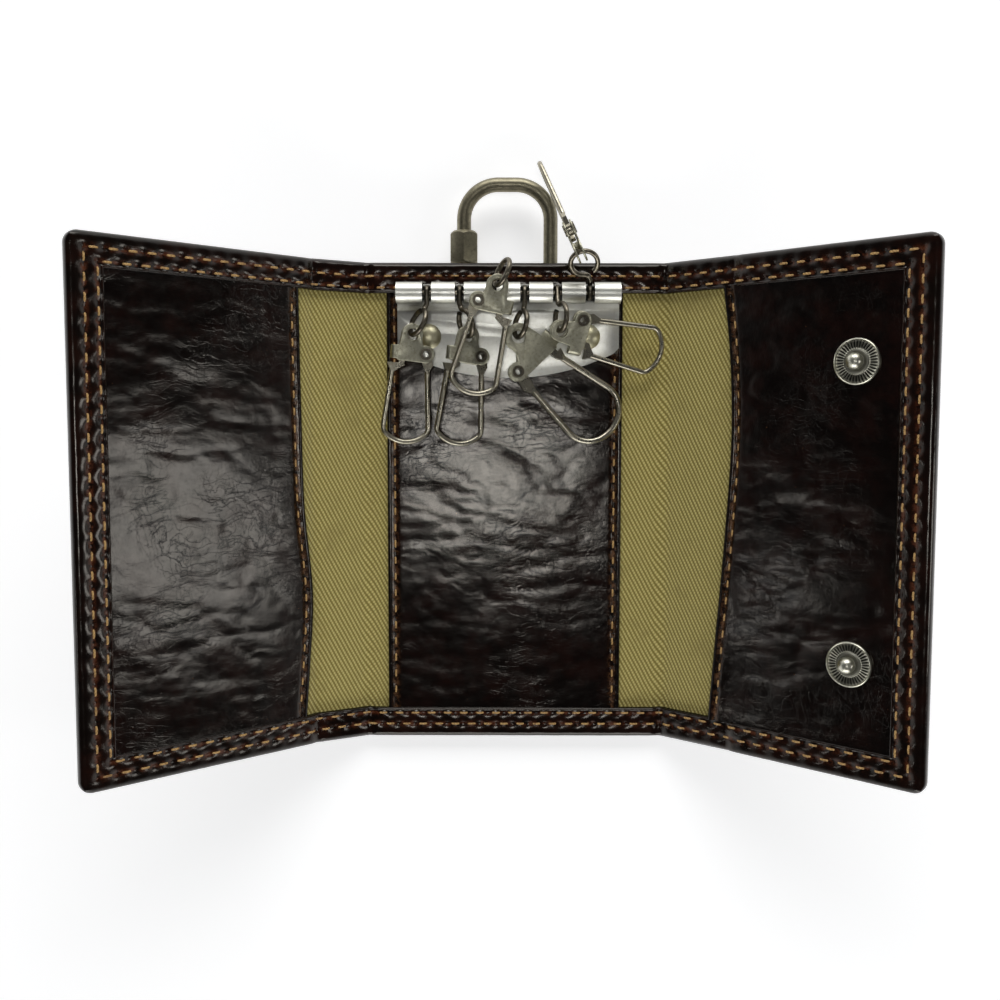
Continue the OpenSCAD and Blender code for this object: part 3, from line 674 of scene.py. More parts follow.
class Graph:
    """A node tree with short calls that add a node and give its output."""

    def __init__(self, tree: bpy.types.NodeTree) -> None:
        """Holds the tree."""
        self.tree = tree

    def node(self, kind: str, **settings: object) -> bpy.types.Node:
        """Adds a node.

        Args:
            kind: Its type.
            settings: Its properties.

        Returns:
            The node.
        """
        made = self.tree.nodes.new(kind)
        for key, value in settings.items():
            setattr(made, key, value)
        return made

    def feed(self, socket: bpy.types.NodeSocket, value: object) -> None:
        """Links a value to a socket, or sets the socket to a plain number or colour.

        Args:
            socket: The input.
            value: What it gets.
        """
        if isinstance(value, Value):
            self.tree.links.new(value.socket, socket)
        else:
            socket.default_value = value

    def fill(self, node: bpy.types.Node, values: dict[str, object]) -> None:
        """Feeds several inputs of a node by name."""
        for key, value in values.items():
            self.feed(node.inputs[key], value)

    def add(self, kind: str, values: dict[str, object], output: str | int = 0, **settings: object) -> Value:
        """Adds a node with its inputs fed.

        Args:
            kind: Its type.
            values: Its inputs by name.
            output: Which output is wanted.
            settings: Its properties.

        Returns:
            The output.
        """
        made = self.node(kind, **settings)
        self.fill(made, values)
        return Value(self, made.outputs[output])

    def operate(self, kind: str, operation: str, values: Sequence[object]) -> Value:
        """Adds a node that works on its inputs in order.

        Args:
            kind: Its type.
            operation: What it does.
            values: Its inputs.

        Returns:
            Its output.
        """
        made = self.node(kind, operation=operation)
        for socket, value in zip(made.inputs, values):
            self.feed(socket, value)
        return Value(self, made.outputs[0])

    def math(self, operation: str, *values: object) -> Value:
        """A Math node."""
        return self.operate("ShaderNodeMath", operation, values)

    def vector(self, operation: str, *values: object) -> Value:
        """A Vector Math node."""
        return self.operate("ShaderNodeVectorMath", operation, values)

    def scaled(self, vector: Value, factor: float) -> Value:
        """A vector times a number."""
        return self.add("ShaderNodeVectorMath", {"Vector": vector, "Scale": factor}, operation="SCALE")

    def stretched(self, vector: Value, scale: tuple[float, float, float], turn: float = 0.0) -> Value:
        """A vector scaled by axis, after a turn about Z."""
        return self.add("ShaderNodeMapping", {"Vector": vector, "Scale": scale, "Rotation": (0.0, 0.0, turn)})

    def drifted(self, vector: Value, scale: float, reach: float) -> Value:
        """A vector pushed about by a soft noise.

        Args:
            vector: The vector.
            scale: Scale of the noise.
            reach: How far the noise can push.

        Returns:
            The pushed vector.
        """
        push = self.vector("SUBTRACT", self.noise(vector, scale, 2.0, output="Color"), (0.5, 0.5, 0.5))
        return self.vector("ADD", vector, self.scaled(push, reach))

    def parts(self, vector: Value) -> list[Value]:
        """Takes a vector apart.

        Args:
            vector: The vector.

        Returns:
            Its X, Y and Z.
        """
        made = self.node("ShaderNodeSeparateXYZ")
        self.feed(made.inputs[0], vector)
        return [Value(self, socket) for socket in made.outputs]

    def mix(self, factor: Value, a: object, b: object) -> Value:
        """A mix of two colours.

        Args:
            factor: Share of the second colour.
            a: The first colour.
            b: The second colour.

        Returns:
            The mixed colour.
        """
        made = self.node("ShaderNodeMix", data_type="RGBA")
        for name, value in (("Factor", factor), ("A", a), ("B", b)):
            self.feed(next(s for s in made.inputs if s.name == name and s.enabled), value)
        return Value(self, next(s for s in made.outputs if s.enabled))

    def noise(self, vector: Value, scale: float, detail: float = 3.0, rough: float = 0.55,
              warp: float = 0.0, output: str = "Fac") -> Value:
        """A noise texture.

        Args:
            vector: Where it is read.
            scale: Its scale.
            detail: Number of finer layers.
            rough: Weight of the finer layers.
            warp: Its distortion.
            output: Which output is wanted.

        Returns:
            The output.
        """
        values = {"Vector": vector, "Scale": scale, "Detail": detail, "Roughness": rough, "Distortion": warp}
        return self.add("ShaderNodeTexNoise", values, output)

    def cells(self, vector: Value, scale: float) -> Value:
        """Distance to the nearest point of a Voronoi texture."""
        return self.add("ShaderNodeTexVoronoi", {"Vector": vector, "Scale": scale}, "Distance")

    def attribute(self, name: str, key: str = "Vector") -> Value:
        """A vertex attribute."""
        return self.add("ShaderNodeAttribute", {}, key, attribute_name=name)

    def place(self, key: str = "Object") -> Value:
        """Texture coordinates."""
        return self.add("ShaderNodeTexCoord", {}, key)

    def use(self, tree: bpy.types.NodeTree, values: dict[str, object]) -> dict[str, Value]:
        """Adds a node group.

        Args:
            tree: The group.
            values: Its inputs.

        Returns:
            Its outputs by name.
        """
        made = self.node("ShaderNodeGroup", node_tree=tree)
        self.fill(made, values)
        return {s.name: Value(self, s) for s in made.outputs}


def new_group(name: str, colours: Sequence[str], numbers: Sequence[str],
              results: Sequence[str]) -> tuple[Graph, dict[str, Value], bpy.types.Node]:
    """Starts a shader node group that reads a vector.

    Args:
        name: Name of the group.
        colours: Its inputs that are colours.
        numbers: Its inputs that are numbers.
        results: Its outputs.

    Returns:
        The group's graph, its inputs by name and its output node.
    """
    tree = bpy.data.node_groups.new(name, "ShaderNodeTree")
    kinds = {"Vector": "Vector", **dict.fromkeys(colours, "Color"), **dict.fromkeys(numbers, "Float")}
    for key, kind in kinds.items():
        tree.interface.new_socket(name=key, in_out="INPUT", socket_type=f"NodeSocket{kind}")
    for key in results:
        kind = "Color" if key == "Color" else "Float"
        tree.interface.new_socket(name=key, in_out="OUTPUT", socket_type=f"NodeSocket{kind}")
    graph = Graph(tree)
    start = graph.node("NodeGroupInput")
    return graph, {s.name: Value(graph, s) for s in start.outputs}, graph.node("NodeGroupOutput")


def leather_group() -> bpy.types.NodeTree:
    """Glazed leather: broad waves, long wrinkles in patches, grain, grey bloom, rubbed spots and painted shade
    along the creases.

    Returns:
        The node group.
    """
    g, i, end = new_group("glazed_leather", ("Dark", "Warm", "Bloom", "Rubbed"), ("Wear", "Ink", "Wrinkle"),
                          ("Color", "Roughness", "Height"))
    mm = g.scaled(i["Vector"], PER_METRE)
    warped = g.drifted(mm, 0.09, 9.0)
    patch = g.noise(mm, 0.045, 2.0, 0.5).remap(0.44, 0.64)
    waves = g.noise(g.stretched(warped, (0.1, 0.16, 0.1)), 1.0, 2.0, 0.45)
    fine = g.noise(g.stretched(warped, (0.07, 0.5, 0.5), 0.1), 1.0, 2.2, 0.45, 0.4)
    slant = g.noise(g.stretched(warped, (0.55, 0.2, 0.5), 0.7), 1.0, 3.0, 0.55)
    grain = g.noise(mm, 1.3, 3.0, 0.6)
    line, cut = abs(fine - 0.5).remap(0.0, 0.03, 1.0, 0.0), abs(slant - 0.5).remap(0.0, 0.022, 1.0, 0.0)
    creases = (line + cut * 0.7) * (i["Wrinkle"] * (patch * 0.9 + 0.04))
    lift = waves * 1.1 + grain * 0.09 + fine * i["Wrinkle"] * (patch * 0.42 + 0.02)
    haze = g.noise(warped, 0.4, 5.0, 0.7).remap(0.5, 0.72) * (patch * 0.14)
    rub = (i["Wear"] * g.noise(mm, 0.7, 4.0, 0.7).remap(0.4, 0.66)).cut()
    specks = g.noise(mm, 1.1, 2.0, 0.5).remap(0.76, 0.82)
    tone = g.mix(g.noise(mm, 0.16, 4.0, 0.6).remap(0.38, 0.7), i["Dark"], i["Warm"])
    tone = g.mix(haze, tone, i["Bloom"])
    tone = g.mix(rub.max(specks * 0.5), tone, i["Rubbed"])
    # Painted shade: the colour darkens towards near black along the creases.
    tone = g.mix(creases * 0.5, tone, INK_AND_SHADE)
    dull = g.noise(mm, 0.5, 4.0, 0.65).remap(0.3, 0.7, 0.14, 0.2) + haze * 0.2
    g.fill(end, {"Color": g.mix(i["Ink"], tone, INK_AND_SHADE), "Roughness": (dull + rub * 0.2).cut(),
                 "Height": lift - creases * 0.12})
    return g.tree


def twill_group() -> bpy.types.NodeTree:
    """Cotton twill: slanting ribs, the yarns across them, fuzz and soiling, with painted shade in the gaps
    between ribs and yarns.

    Returns:
        The node group.
    """
    slant, rib_pitch, yarn_pitch = math.radians(62.0), 0.86, 0.62
    g, i, end = new_group("cotton_twill", ("Rib", "Gap", "Soil"), (), ("Color", "Height"))
    mm = g.scaled(i["Vector"], PER_METRE)
    x, y, _ = g.parts(g.drifted(mm, 0.35, 0.16))
    across = x * math.sin(slant) + y * math.cos(slant)
    along = x * math.cos(slant) - y * math.sin(slant)
    turn = across * (2 * math.pi / rib_pitch)
    rib = turn.wave()
    yarn = (along * (2 * math.pi / yarn_pitch) + turn * 0.5).wave()
    fuzz = g.noise(mm, 4.5, 3.0, 0.7)
    lift = rib * 0.5 + yarn * rib * 0.7
    # The weave's own ribs and yarns, with painted shade: the colour follows their height and is darkest in the
    # gaps.
    tone = g.mix((lift * 0.8 + fuzz * 0.35).remap(0.2, 0.95), i["Gap"], i["Rib"])
    soil = g.noise(mm, 0.12, 4.0, 0.65).remap(0.5, 0.75) * 0.45
    g.fill(end, {"Color": g.mix(soil, tone, i["Soil"]), "Height": lift + fuzz * 0.25})
    return g.tree


def metal_group() -> bpy.types.NodeTree:
    """Worn plated metal: tarnish in soft clouds, pits and fine scratches, and painted shade that a mask mixes
    in.

    Returns:
        The node group.
    """
    g, i, end = new_group("worn_metal", ("Bright", "Dull", "Tarnish"), ("Age", "Low", "High", "Soot"),
                          ("Color", "Roughness", "Height"))
    mm = g.scaled(i["Vector"], PER_METRE)
    cloud, blot = g.noise(mm, 0.45, 5.0, 0.65, 0.4), g.noise(mm, 1.5, 4.0, 0.65)
    pits = g.cells(mm, 2.6).remap(0.0, 0.22, 1.0, 0.0)
    hair = g.noise(g.stretched(mm, (0.5, 14.0, 6.0), 0.5), 1.0, 2.0).remap(0.63, 0.72).max(
        g.noise(g.stretched(mm, (16.0, 0.6, 6.0), -0.3), 1.0, 2.0).remap(0.66, 0.74))
    age = ((cloud * 0.6 + blot * 0.4).remap(0.38, 0.64) * i["Age"]).cut()
    spots = pits * (i["Age"] * 0.6)
    tone = g.mix(age, i["Bright"], i["Dull"])
    tone = g.mix(spots.max(blot.remap(0.58, 0.75) * (i["Age"] * 0.8)), tone, i["Tarnish"])
    shine = i["Low"] + (i["High"] - i["Low"]) * age.max(hair * 0.6)
    # Painted shade: where the mask is set, the colour turns near black and the surface rougher.
    g.fill(end, {"Color": g.mix((i["Soot"] * 0.92).cut(), tone, PAINTED_SHADE),
                 "Roughness": (shine + i["Soot"] * 0.25).cut(),
                 "Height": blot * 0.4 - spots * 0.5 - hair * 0.25})
    return g.tree


@dataclass(frozen=True)
class Groups:
    """The shader groups that several finishes share."""

    leather: bpy.types.NodeTree = field(default_factory=leather_group)
    twill: bpy.types.NodeTree = field(default_factory=twill_group)
    metal: bpy.types.NodeTree = field(default_factory=metal_group)


def start_material(name: str) -> tuple[bpy.types.Material, Graph, bpy.types.Node]:
    """A new material.

    Args:
        name: Its name.

    Returns:
        The material, its graph and its Principled shader.
    """
    material = bpy.data.materials.new(name)
    material.use_nodes = True
    return material, Graph(material.node_tree), material.node_tree.nodes["Principled BSDF"]


def bump(graph: Graph, shader: bpy.types.Node, height: Value, distance: float) -> None:
    """Bumps a shader's surface.

    Args:
        graph: The material's graph.
        shader: Its shader.
        height: The height, from 0 to about 1.
        distance: Height of 1 in millimetres.
    """
    values = {"Strength": 1.0, "Distance": distance * MM, "Height": height}
    graph.feed(shader.inputs["Normal"], graph.add("ShaderNodeBump", values))


@dataclass(frozen=True)
class LeatherFinish:
    """A glazed leather with its colours and the depth of its grain."""

    name: str
    dark: Colour
    warm: Colour
    bloom: Colour
    rubbed: Colour
    wrinkle: float
    depth: float
    gloss: float = 0.38
    tint: Colour = (1.0, 0.94, 0.84, 1.0)
    coat: float = 0.1
    coat_rough: float = 0.12

    def build(self, groups: Groups) -> bpy.types.Material:
        """The material, which follows the flat leather.

        Args:
            groups: The shared groups.

        Returns:
            The material.
        """
        material, g, shader = start_material(self.name)
        out = g.use(groups.leather, {
            "Vector": g.attribute("flat"), "Dark": self.dark, "Warm": self.warm, "Bloom": self.bloom,
            "Rubbed": self.rubbed, "Wrinkle": self.wrinkle,
            "Wear": g.attribute("wear", "Fac"), "Ink": g.attribute("ink", "Fac")})
        g.fill(shader, {"Base Color": out["Color"], "Roughness": out["Roughness"],
                        "Specular IOR Level": self.gloss, "Specular Tint": self.tint,
                        "Coat Weight": self.coat, "Coat Roughness": self.coat_rough})
        bump(g, shader, out["Height"], self.depth)
        return material


@dataclass(frozen=True)
class TwillFinish:
    """Cotton twill in its rib, gap and soil colours; the gap colour is painted shade between the ribs."""

    name: str
    rib: Colour
    gap: Colour
    soil: Colour
    depth: float = 0.1

    def build(self, groups: Groups) -> bpy.types.Material:
        """The material, which follows the flat cloth.

        Args:
            groups: The shared groups.

        Returns:
            The material.
        """
        material, g, shader = start_material(self.name)
        out = g.use(groups.twill, {
            "Vector": g.attribute("flat"), "Rib": self.rib, "Gap": self.gap, "Soil": self.soil})
        g.fill(shader, {"Base Color": out["Color"], "Roughness": 0.85, "Sheen Weight": 0.25,
                        "Specular IOR Level": 0.25})
        bump(g, shader, out["Height"], self.depth)
        return material


@dataclass(frozen=True)
class MetalFinish:
    """A worn metal with its colours, age, range of roughness and depth of wear."""

    name: str
    bright: Colour
    dull: Colour
    tarnish: Colour
    age: float
    low: float
    high: float
    depth: float

    def build(self, groups: Groups) -> bpy.types.Material:
        """The material, on object coordinates.

        Args:
            groups: The shared groups.

        Returns:
            The material.
        """
        material, g, shader = start_material(self.name)
        out = g.use(groups.metal, {
            "Vector": g.place(), "Bright": self.bright, "Dull": self.dull, "Tarnish": self.tarnish,
            "Age": self.age, "Low": self.low, "High": self.high, "Soot": g.attribute("soot", "Fac")})
        g.fill(shader, {"Base Color": out["Color"], "Roughness": out["Roughness"], "Metallic": 1.0})
        bump(g, shader, out["Height"], self.depth)
        return material


@dataclass(frozen=True)
class ThreadFinish:
    """Waxed thread with its twist and dark spots, darker towards both ends where it goes into the leather, with
    painted shade in the grooves of its twist.
    """

    name: str
    light: Colour
    dark: Colour
    depth: float = 0.08

    def build(self) -> bpy.types.Material:
        """The material, on the coordinates of one stitch.

        Returns:
            The material.
        """
        material, g, shader = start_material(self.name)
        x, y, _ = g.parts(g.attribute("stitch"))
        twist = ((x + y * 1.2) * 9.0).wave()
        spot = g.noise(g.scaled(g.place(), PER_METRE), 0.7, 3.0, 0.6)
        # Darker at both ends and in random spots; the darker grooves of the twist are painted shade.
        shade = abs(x).remap(0.75, 1.5).max(spot.remap(0.45, 0.7) * 0.7).max((1.0 - twist) * 0.35)
        g.fill(shader, {"Base Color": g.mix(shade, self.light, self.dark), "Roughness": 0.6})
        bump(g, shader, twist, self.depth)
        return material


@dataclass(frozen=True)
class BoardFinish:
    """Grey brown card with flecks of fibre."""

    name: str
    light: Colour
    dark: Colour
    depth: float = 0.05

    def build(self) -> bpy.types.Material:
        """The material, on object coordinates.

        Returns:
            The material.
        """
        material, g, shader = start_material(self.name)
        fleck = g.noise(g.stretched(g.scaled(g.place(), PER_METRE), (1.0, 0.3, 1.0)), 1.5, 4.0, 0.7)
        g.fill(shader, {"Base Color": g.mix(fleck.remap(0.3, 0.7), self.light, self.dark), "Roughness": 0.9})
        bump(g, shader, fleck, self.depth)
        return material


class Finishes:
    """The materials of the case, each built once."""

    def __init__(self) -> None:
        """Builds every finish."""
        groups = Groups()
        self.outer = LeatherFinish("border_leather", srgb(12, 6, 4), srgb(30, 13, 8), srgb(56, 44, 38),
                                   srgb(92, 46, 23), wrinkle=0.5, depth=0.1).build(groups)
        self.inner = LeatherFinish("panel_leather", srgb(7, 3, 2), srgb(24, 9, 6), srgb(58, 50, 46),
                                   srgb(112, 76, 48), wrinkle=1.0, depth=0.17).build(groups)
        self.twill = TwillFinish("khaki_twill", srgb(214, 201, 128), srgb(139, 124, 60),
                                 srgb(144, 128, 72)).build(groups)
        self.thread = ThreadFinish("tan_thread", srgb(206, 166, 104), srgb(112, 72, 40)).build()
        self.board = BoardFinish("grey_board", srgb(150, 138, 116), srgb(112, 100, 84)).build()
        self.nickel, self.stud, self.pale_brass, self.brass, self.clip, self.wire, self.dark = (
            MetalFinish(name, srgb(*bright), srgb(*dull), srgb(*tarnish), *rest).build(groups)
            for name, bright, dull, tarnish, *rest in (
                ("worn_nickel", (232, 231, 222), (204, 200, 184), (134, 124, 104), 0.3, 0.38, 0.48, 0.008),
                ("pressed_nickel", (208, 206, 190), (172, 168, 146), (116, 106, 84), 0.3, 0.34, 0.46, 0.006),
                ("pale_brass", (216, 210, 178), (184, 176, 140), (130, 114, 82), 0.4, 0.4, 0.5, 0.01),
                ("aged_brass", (146, 140, 118), (104, 97, 80), (58, 52, 44), 0.6, 0.38, 0.5, 0.012),
                ("pewter_clip", (190, 187, 166), (142, 138, 118), (84, 78, 64), 0.75, 0.38, 0.52, 0.02),
                ("clip_wire", (176, 170, 152), (124, 117, 100), (70, 64, 54), 0.5, 0.26, 0.42, 0.012),
                ("blackened_steel", (128, 121, 106), (78, 73, 64), (36, 33, 29), 0.8, 0.28, 0.46, 0.012)))


def dress(obj: bpy.types.Object, material: bpy.types.Material) -> bpy.types.Object:
    """Gives an object one material in every slot.

    Args:
        obj: The object.
        material: The material.

    Returns:
        The object.
    """
    if not obj.material_slots:
        obj.data.materials.append(material)
    for held in obj.material_slots:
        held.material = material
    return obj


# ---- soft pieces -------------------------------------------------------------------------


class Zone(Enum):
    """The five strips that the flat case is divided into, by the joint that each crosses."""

    LEFT_WING = "left_wing"
    LEFT_SPINE = "left_spine"
    BACK = "back"
    RIGHT_SPINE = "right_spine"
    RIGHT_WING = "right_wing"

    @property
    def side(self) -> Side:
        """The half of the case that the strip is on."""
        return Side.LEFT if self.value.startswith("left") else Side.RIGHT

    @property
    def wing(self) -> bool:
        """Whether the strip has the outer edge of a wing."""
        return self.value.endswith("wing")

    def node(self, kind: str, back: str) -> str:
        """Name of the strip's node, from its kind or from the back's own name."""
        return back if self is Zone.BACK else f"{self.value}_{kind}"

    def span(self) -> tuple[float, float]:
        """Lowest and highest flat X of the strip.

        Returns:
            The two values.
        """
        if self is Zone.BACK:
            return -CASE.panel_half, CASE.panel_half
        split = CASE.split(self.side)
        ends = (split, CASE.reach) if self.wing else (CASE.panel_half, split)
        return tuple(sorted(self.side.value * e for e in ends))

    def carry(self, obj: bpy.types.Object) -> None:
        """Joins a piece of the back strip to the back's body, and bakes the place of a piece of any other strip
        into its mesh.

        Args:
            obj: The piece.
        """
        if self is Zone.BACK:
            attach(obj, "back")
            return
        fold = CASE.folds(self.side)[1 if self.wing else 0]
        sign = self.side.value
        FOLDS.point(sign * (fold.at - fold.half))
        FOLDS.point(sign * (fold.at + fold.half))
        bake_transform(obj)


def rim_steps(low: float, high: float, wing: bool) -> list[float]:
    """X lines of a strip, close together in the border of a wing.

    Args:
        low: Lowest X of the strip.
        high: Highest X of the strip.
        wing: Whether the strip has an outer edge.

    Returns:
        The lines.
    """
    if not wing:
        return lines(low, high, 0.63)
    start = low if high > 0 else -high
    inner = lines(start, CASE.reach - RIM_LINES[-1], STEP)[:-1]
    steps = inner + [CASE.reach - d for d in reversed(RIM_LINES)]
    return steps if high > 0 else [-s for s in reversed(steps)]


def height_steps(step: float) -> list[float]:
    """Y lines of a strip, close together in both borders.

    Args:
        step: Distance between the lines elsewhere.

    Returns:
        The lines.
    """
    low = [-CASE.half_h + d for d in RIM_LINES]
    middle = lines(low[-1], -low[-1], step)[1:-1]
    return low + middle + [-y for y in reversed(low)]


@dataclass
class StitchMaker:
    """Makes rows of thread that lie on the leather."""

    thread: float = 0.46
    length: float = 3.1
    rise: float = 0.1

    def template(self) -> bpy.types.Object:
        """One stitch along X: a drawn-out sphere whose two ends dip.

        Returns:
            The stitch.
        """
        deselect()
        bpy.ops.mesh.primitive_uv_sphere_add(segments=8, ring_count=8, radius=1.0)
        obj = bpy.context.object
        alter(obj, bpy.ops.transform.rotate, value=math.pi / 2, orient_axis="Y", center_override=(0, 0, 0))
        co = read(obj)
        x = co[:, 0]
        ring = np.sqrt(np.clip(co[:, 1] ** 2 + co[:, 2] ** 2, 1e-9, None))
        grow = np.clip(ring, 0, 1) ** 0.55 / ring
        co[:, 1] *= grow * self.thread / 2
        co[:, 2] *= grow * self.thread / 2 * 0.85
        co[:, 0] = np.sign(x) * np.abs(x) ** 0.9 * self.length / 2
        co[:, 2] -= 0.42 * (np.abs(x) ** 3)
        write(obj, co)
        return obj

    def placer(self, x: float, y: float, z: float, turn: float, up: float) -> Rule:
        """The function that places one stitch.

        Args:
            x: Flat X of its middle.
            y: Flat Y of its middle.
            z: Height of the leather there.
            turn: Its angle about Z.
            up: 1 above the leather and -1 below it.

        Returns:
            A function from a stitch's own points to metres.
        """
        c, s = math.cos(turn), math.sin(turn)
        return lambda own: MM * FOLDS.world(np.stack([
            x + c * own[:, 0] - s * own[:, 1] * up, y + s * own[:, 0] + c * own[:, 1] * up,
            z + up * (own[:, 2] + self.rise)], axis=1))

    def sew(self, name: str, spots: Sequence[tuple[float, float, float, float, float]],
            thread: bpy.types.Material) -> bpy.types.Object:
        """Sews stitches in one mesh.

        Args:
            name: Name of the piece.
            spots: For each stitch its X, Y, Z, angle about Z and side, 1 above and -1 below.
            thread: The thread's material.

        Returns:
            The piece, not yet carried.
        """
        return dress(copies(name, self.template(), [self.placer(*spot) for spot in spots], "stitch"), thread)


@dataclass
class LeatherShell:
    """The outer leather in five strips with its turned border and its stitches."""

    finishes: Finishes
    stitches: StitchMaker = field(default_factory=StitchMaker)

    def strip(self, zone: Zone) -> bpy.types.Object:
        """One strip of the outer leather, closed all round.

        Args:
            zone: The strip.

        Returns:
            The piece.
        """
        obj = slab(rim_steps(*zone.span(), zone.wing), height_steps(STEP if zone.wing else 2.4), 1.0)
        if zone is Zone.LEFT_WING:
            bore_sockets(obj)
        co = read(obj)
        top, bottom, wear = SKIN.heights(co[:, 0], co[:, 1], zone.wing)
        upper = co[:, 2] > 0.5
        d = SKIN.rims(co[:, 0], co[:, 1], zone.wing)[0]
        flat = co.copy()
        flat[:, 0], flat[:, 1] = round_corner(co[:, 0], co[:, 1])
        flat[:, 2] = np.where(upper, top, bottom)
        put_flat(obj, flat)
        keep(obj, "wear", wear)
        keep(obj, "ink", np.where(upper, bell(d - 6.28, 0.22) + (d > 6.9), 0.0))
        finish_mesh(obj, f"outer_leather_{zone.value}")
        dress(obj, self.finishes.outer)
        zone.carry(obj)
        return obj

    def seams(self, zone: Zone) -> bpy.types.Object:
        """The stitches of one strip, on both faces.

        Args:
            zone: The strip.

        Returns:
            The piece.
        """
        spots = []
        for row in ROWS:
            y = CASE.half_h - row.inset
            for x in row.middles(CASE.reach, *zone.span()):
                spots += [(x, -y, 0.0), (x, y, 0.0)]
            if zone.wing:
                x = zone.side.value * (CASE.reach - row.inset)
                spots += [(x, m, math.pi / 2) for m in row.middles(CASE.half_h, -CASE.half_h, CASE.half_h)]
        x, y, turn = np.array(spots).T
        top, bottom, _ = SKIN.heights(x, y, zone.wing)
        both = [spot for z, up in ((top, 1.0), (bottom, -1.0)) for spot in zip(x, y, z, turn, [up] * len(x))]
        obj = self.stitches.sew(f"border_stitches_{zone.value}", both, self.finishes.thread)
        zone.carry(obj)
        return obj

    def build(self) -> None:
        """Builds all strips and seams and takes the place of the CAD leather."""
        for zone in Zone:
            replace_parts(self.strip(zone), zone.node("shell", "outer_shell_back"))
            self.seams(zone)
            LOG.info("outer leather and seams of %s", zone.value)


@dataclass
class Linings:
    """The twill lining in five strips."""

    finishes: Finishes
    thick: float = 0.4
    inset: float = 5.0

    def strip(self, zone: Zone) -> bpy.types.Object:
        """One strip of the lining, lower over the spines.

        Args:
            zone: The strip.

        Returns:
            The piece.
        """
        reach, half = CASE.reach - self.inset, CASE.half_h - self.inset
        low, high = np.clip(zone.span(), -reach, reach)
        obj = slab(lines(low, high, 0.8), lines(-half, half, 3.0), self.thick)
        if zone is Zone.LEFT_WING:
            bore_sockets(obj)
        co = read(obj)
        ripple = Ripples(11).rough(co[:, 0] * 0.12, co[:, 1] * 0.08) - 0.5
        step = CASE.turn_z - SKIN.level(co[:, 0])
        co[:, 2] += CASE.lining_z - step - 0.2 * SKIN.crease(co[:, 0], 1.1) + 0.12 * ripple
        put_flat(obj, co)
        finish_mesh(obj, f"twill_{zone.value}")
        dress(obj, self.finishes.twill)
        zone.carry(obj)
        return obj

    def build(self) -> None:
        """Builds all strips and takes the place of the CAD lining."""
        for zone in Zone:
            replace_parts(self.strip(zone), zone.node("lining", "lining_back"))
        LOG.info("twill lining")


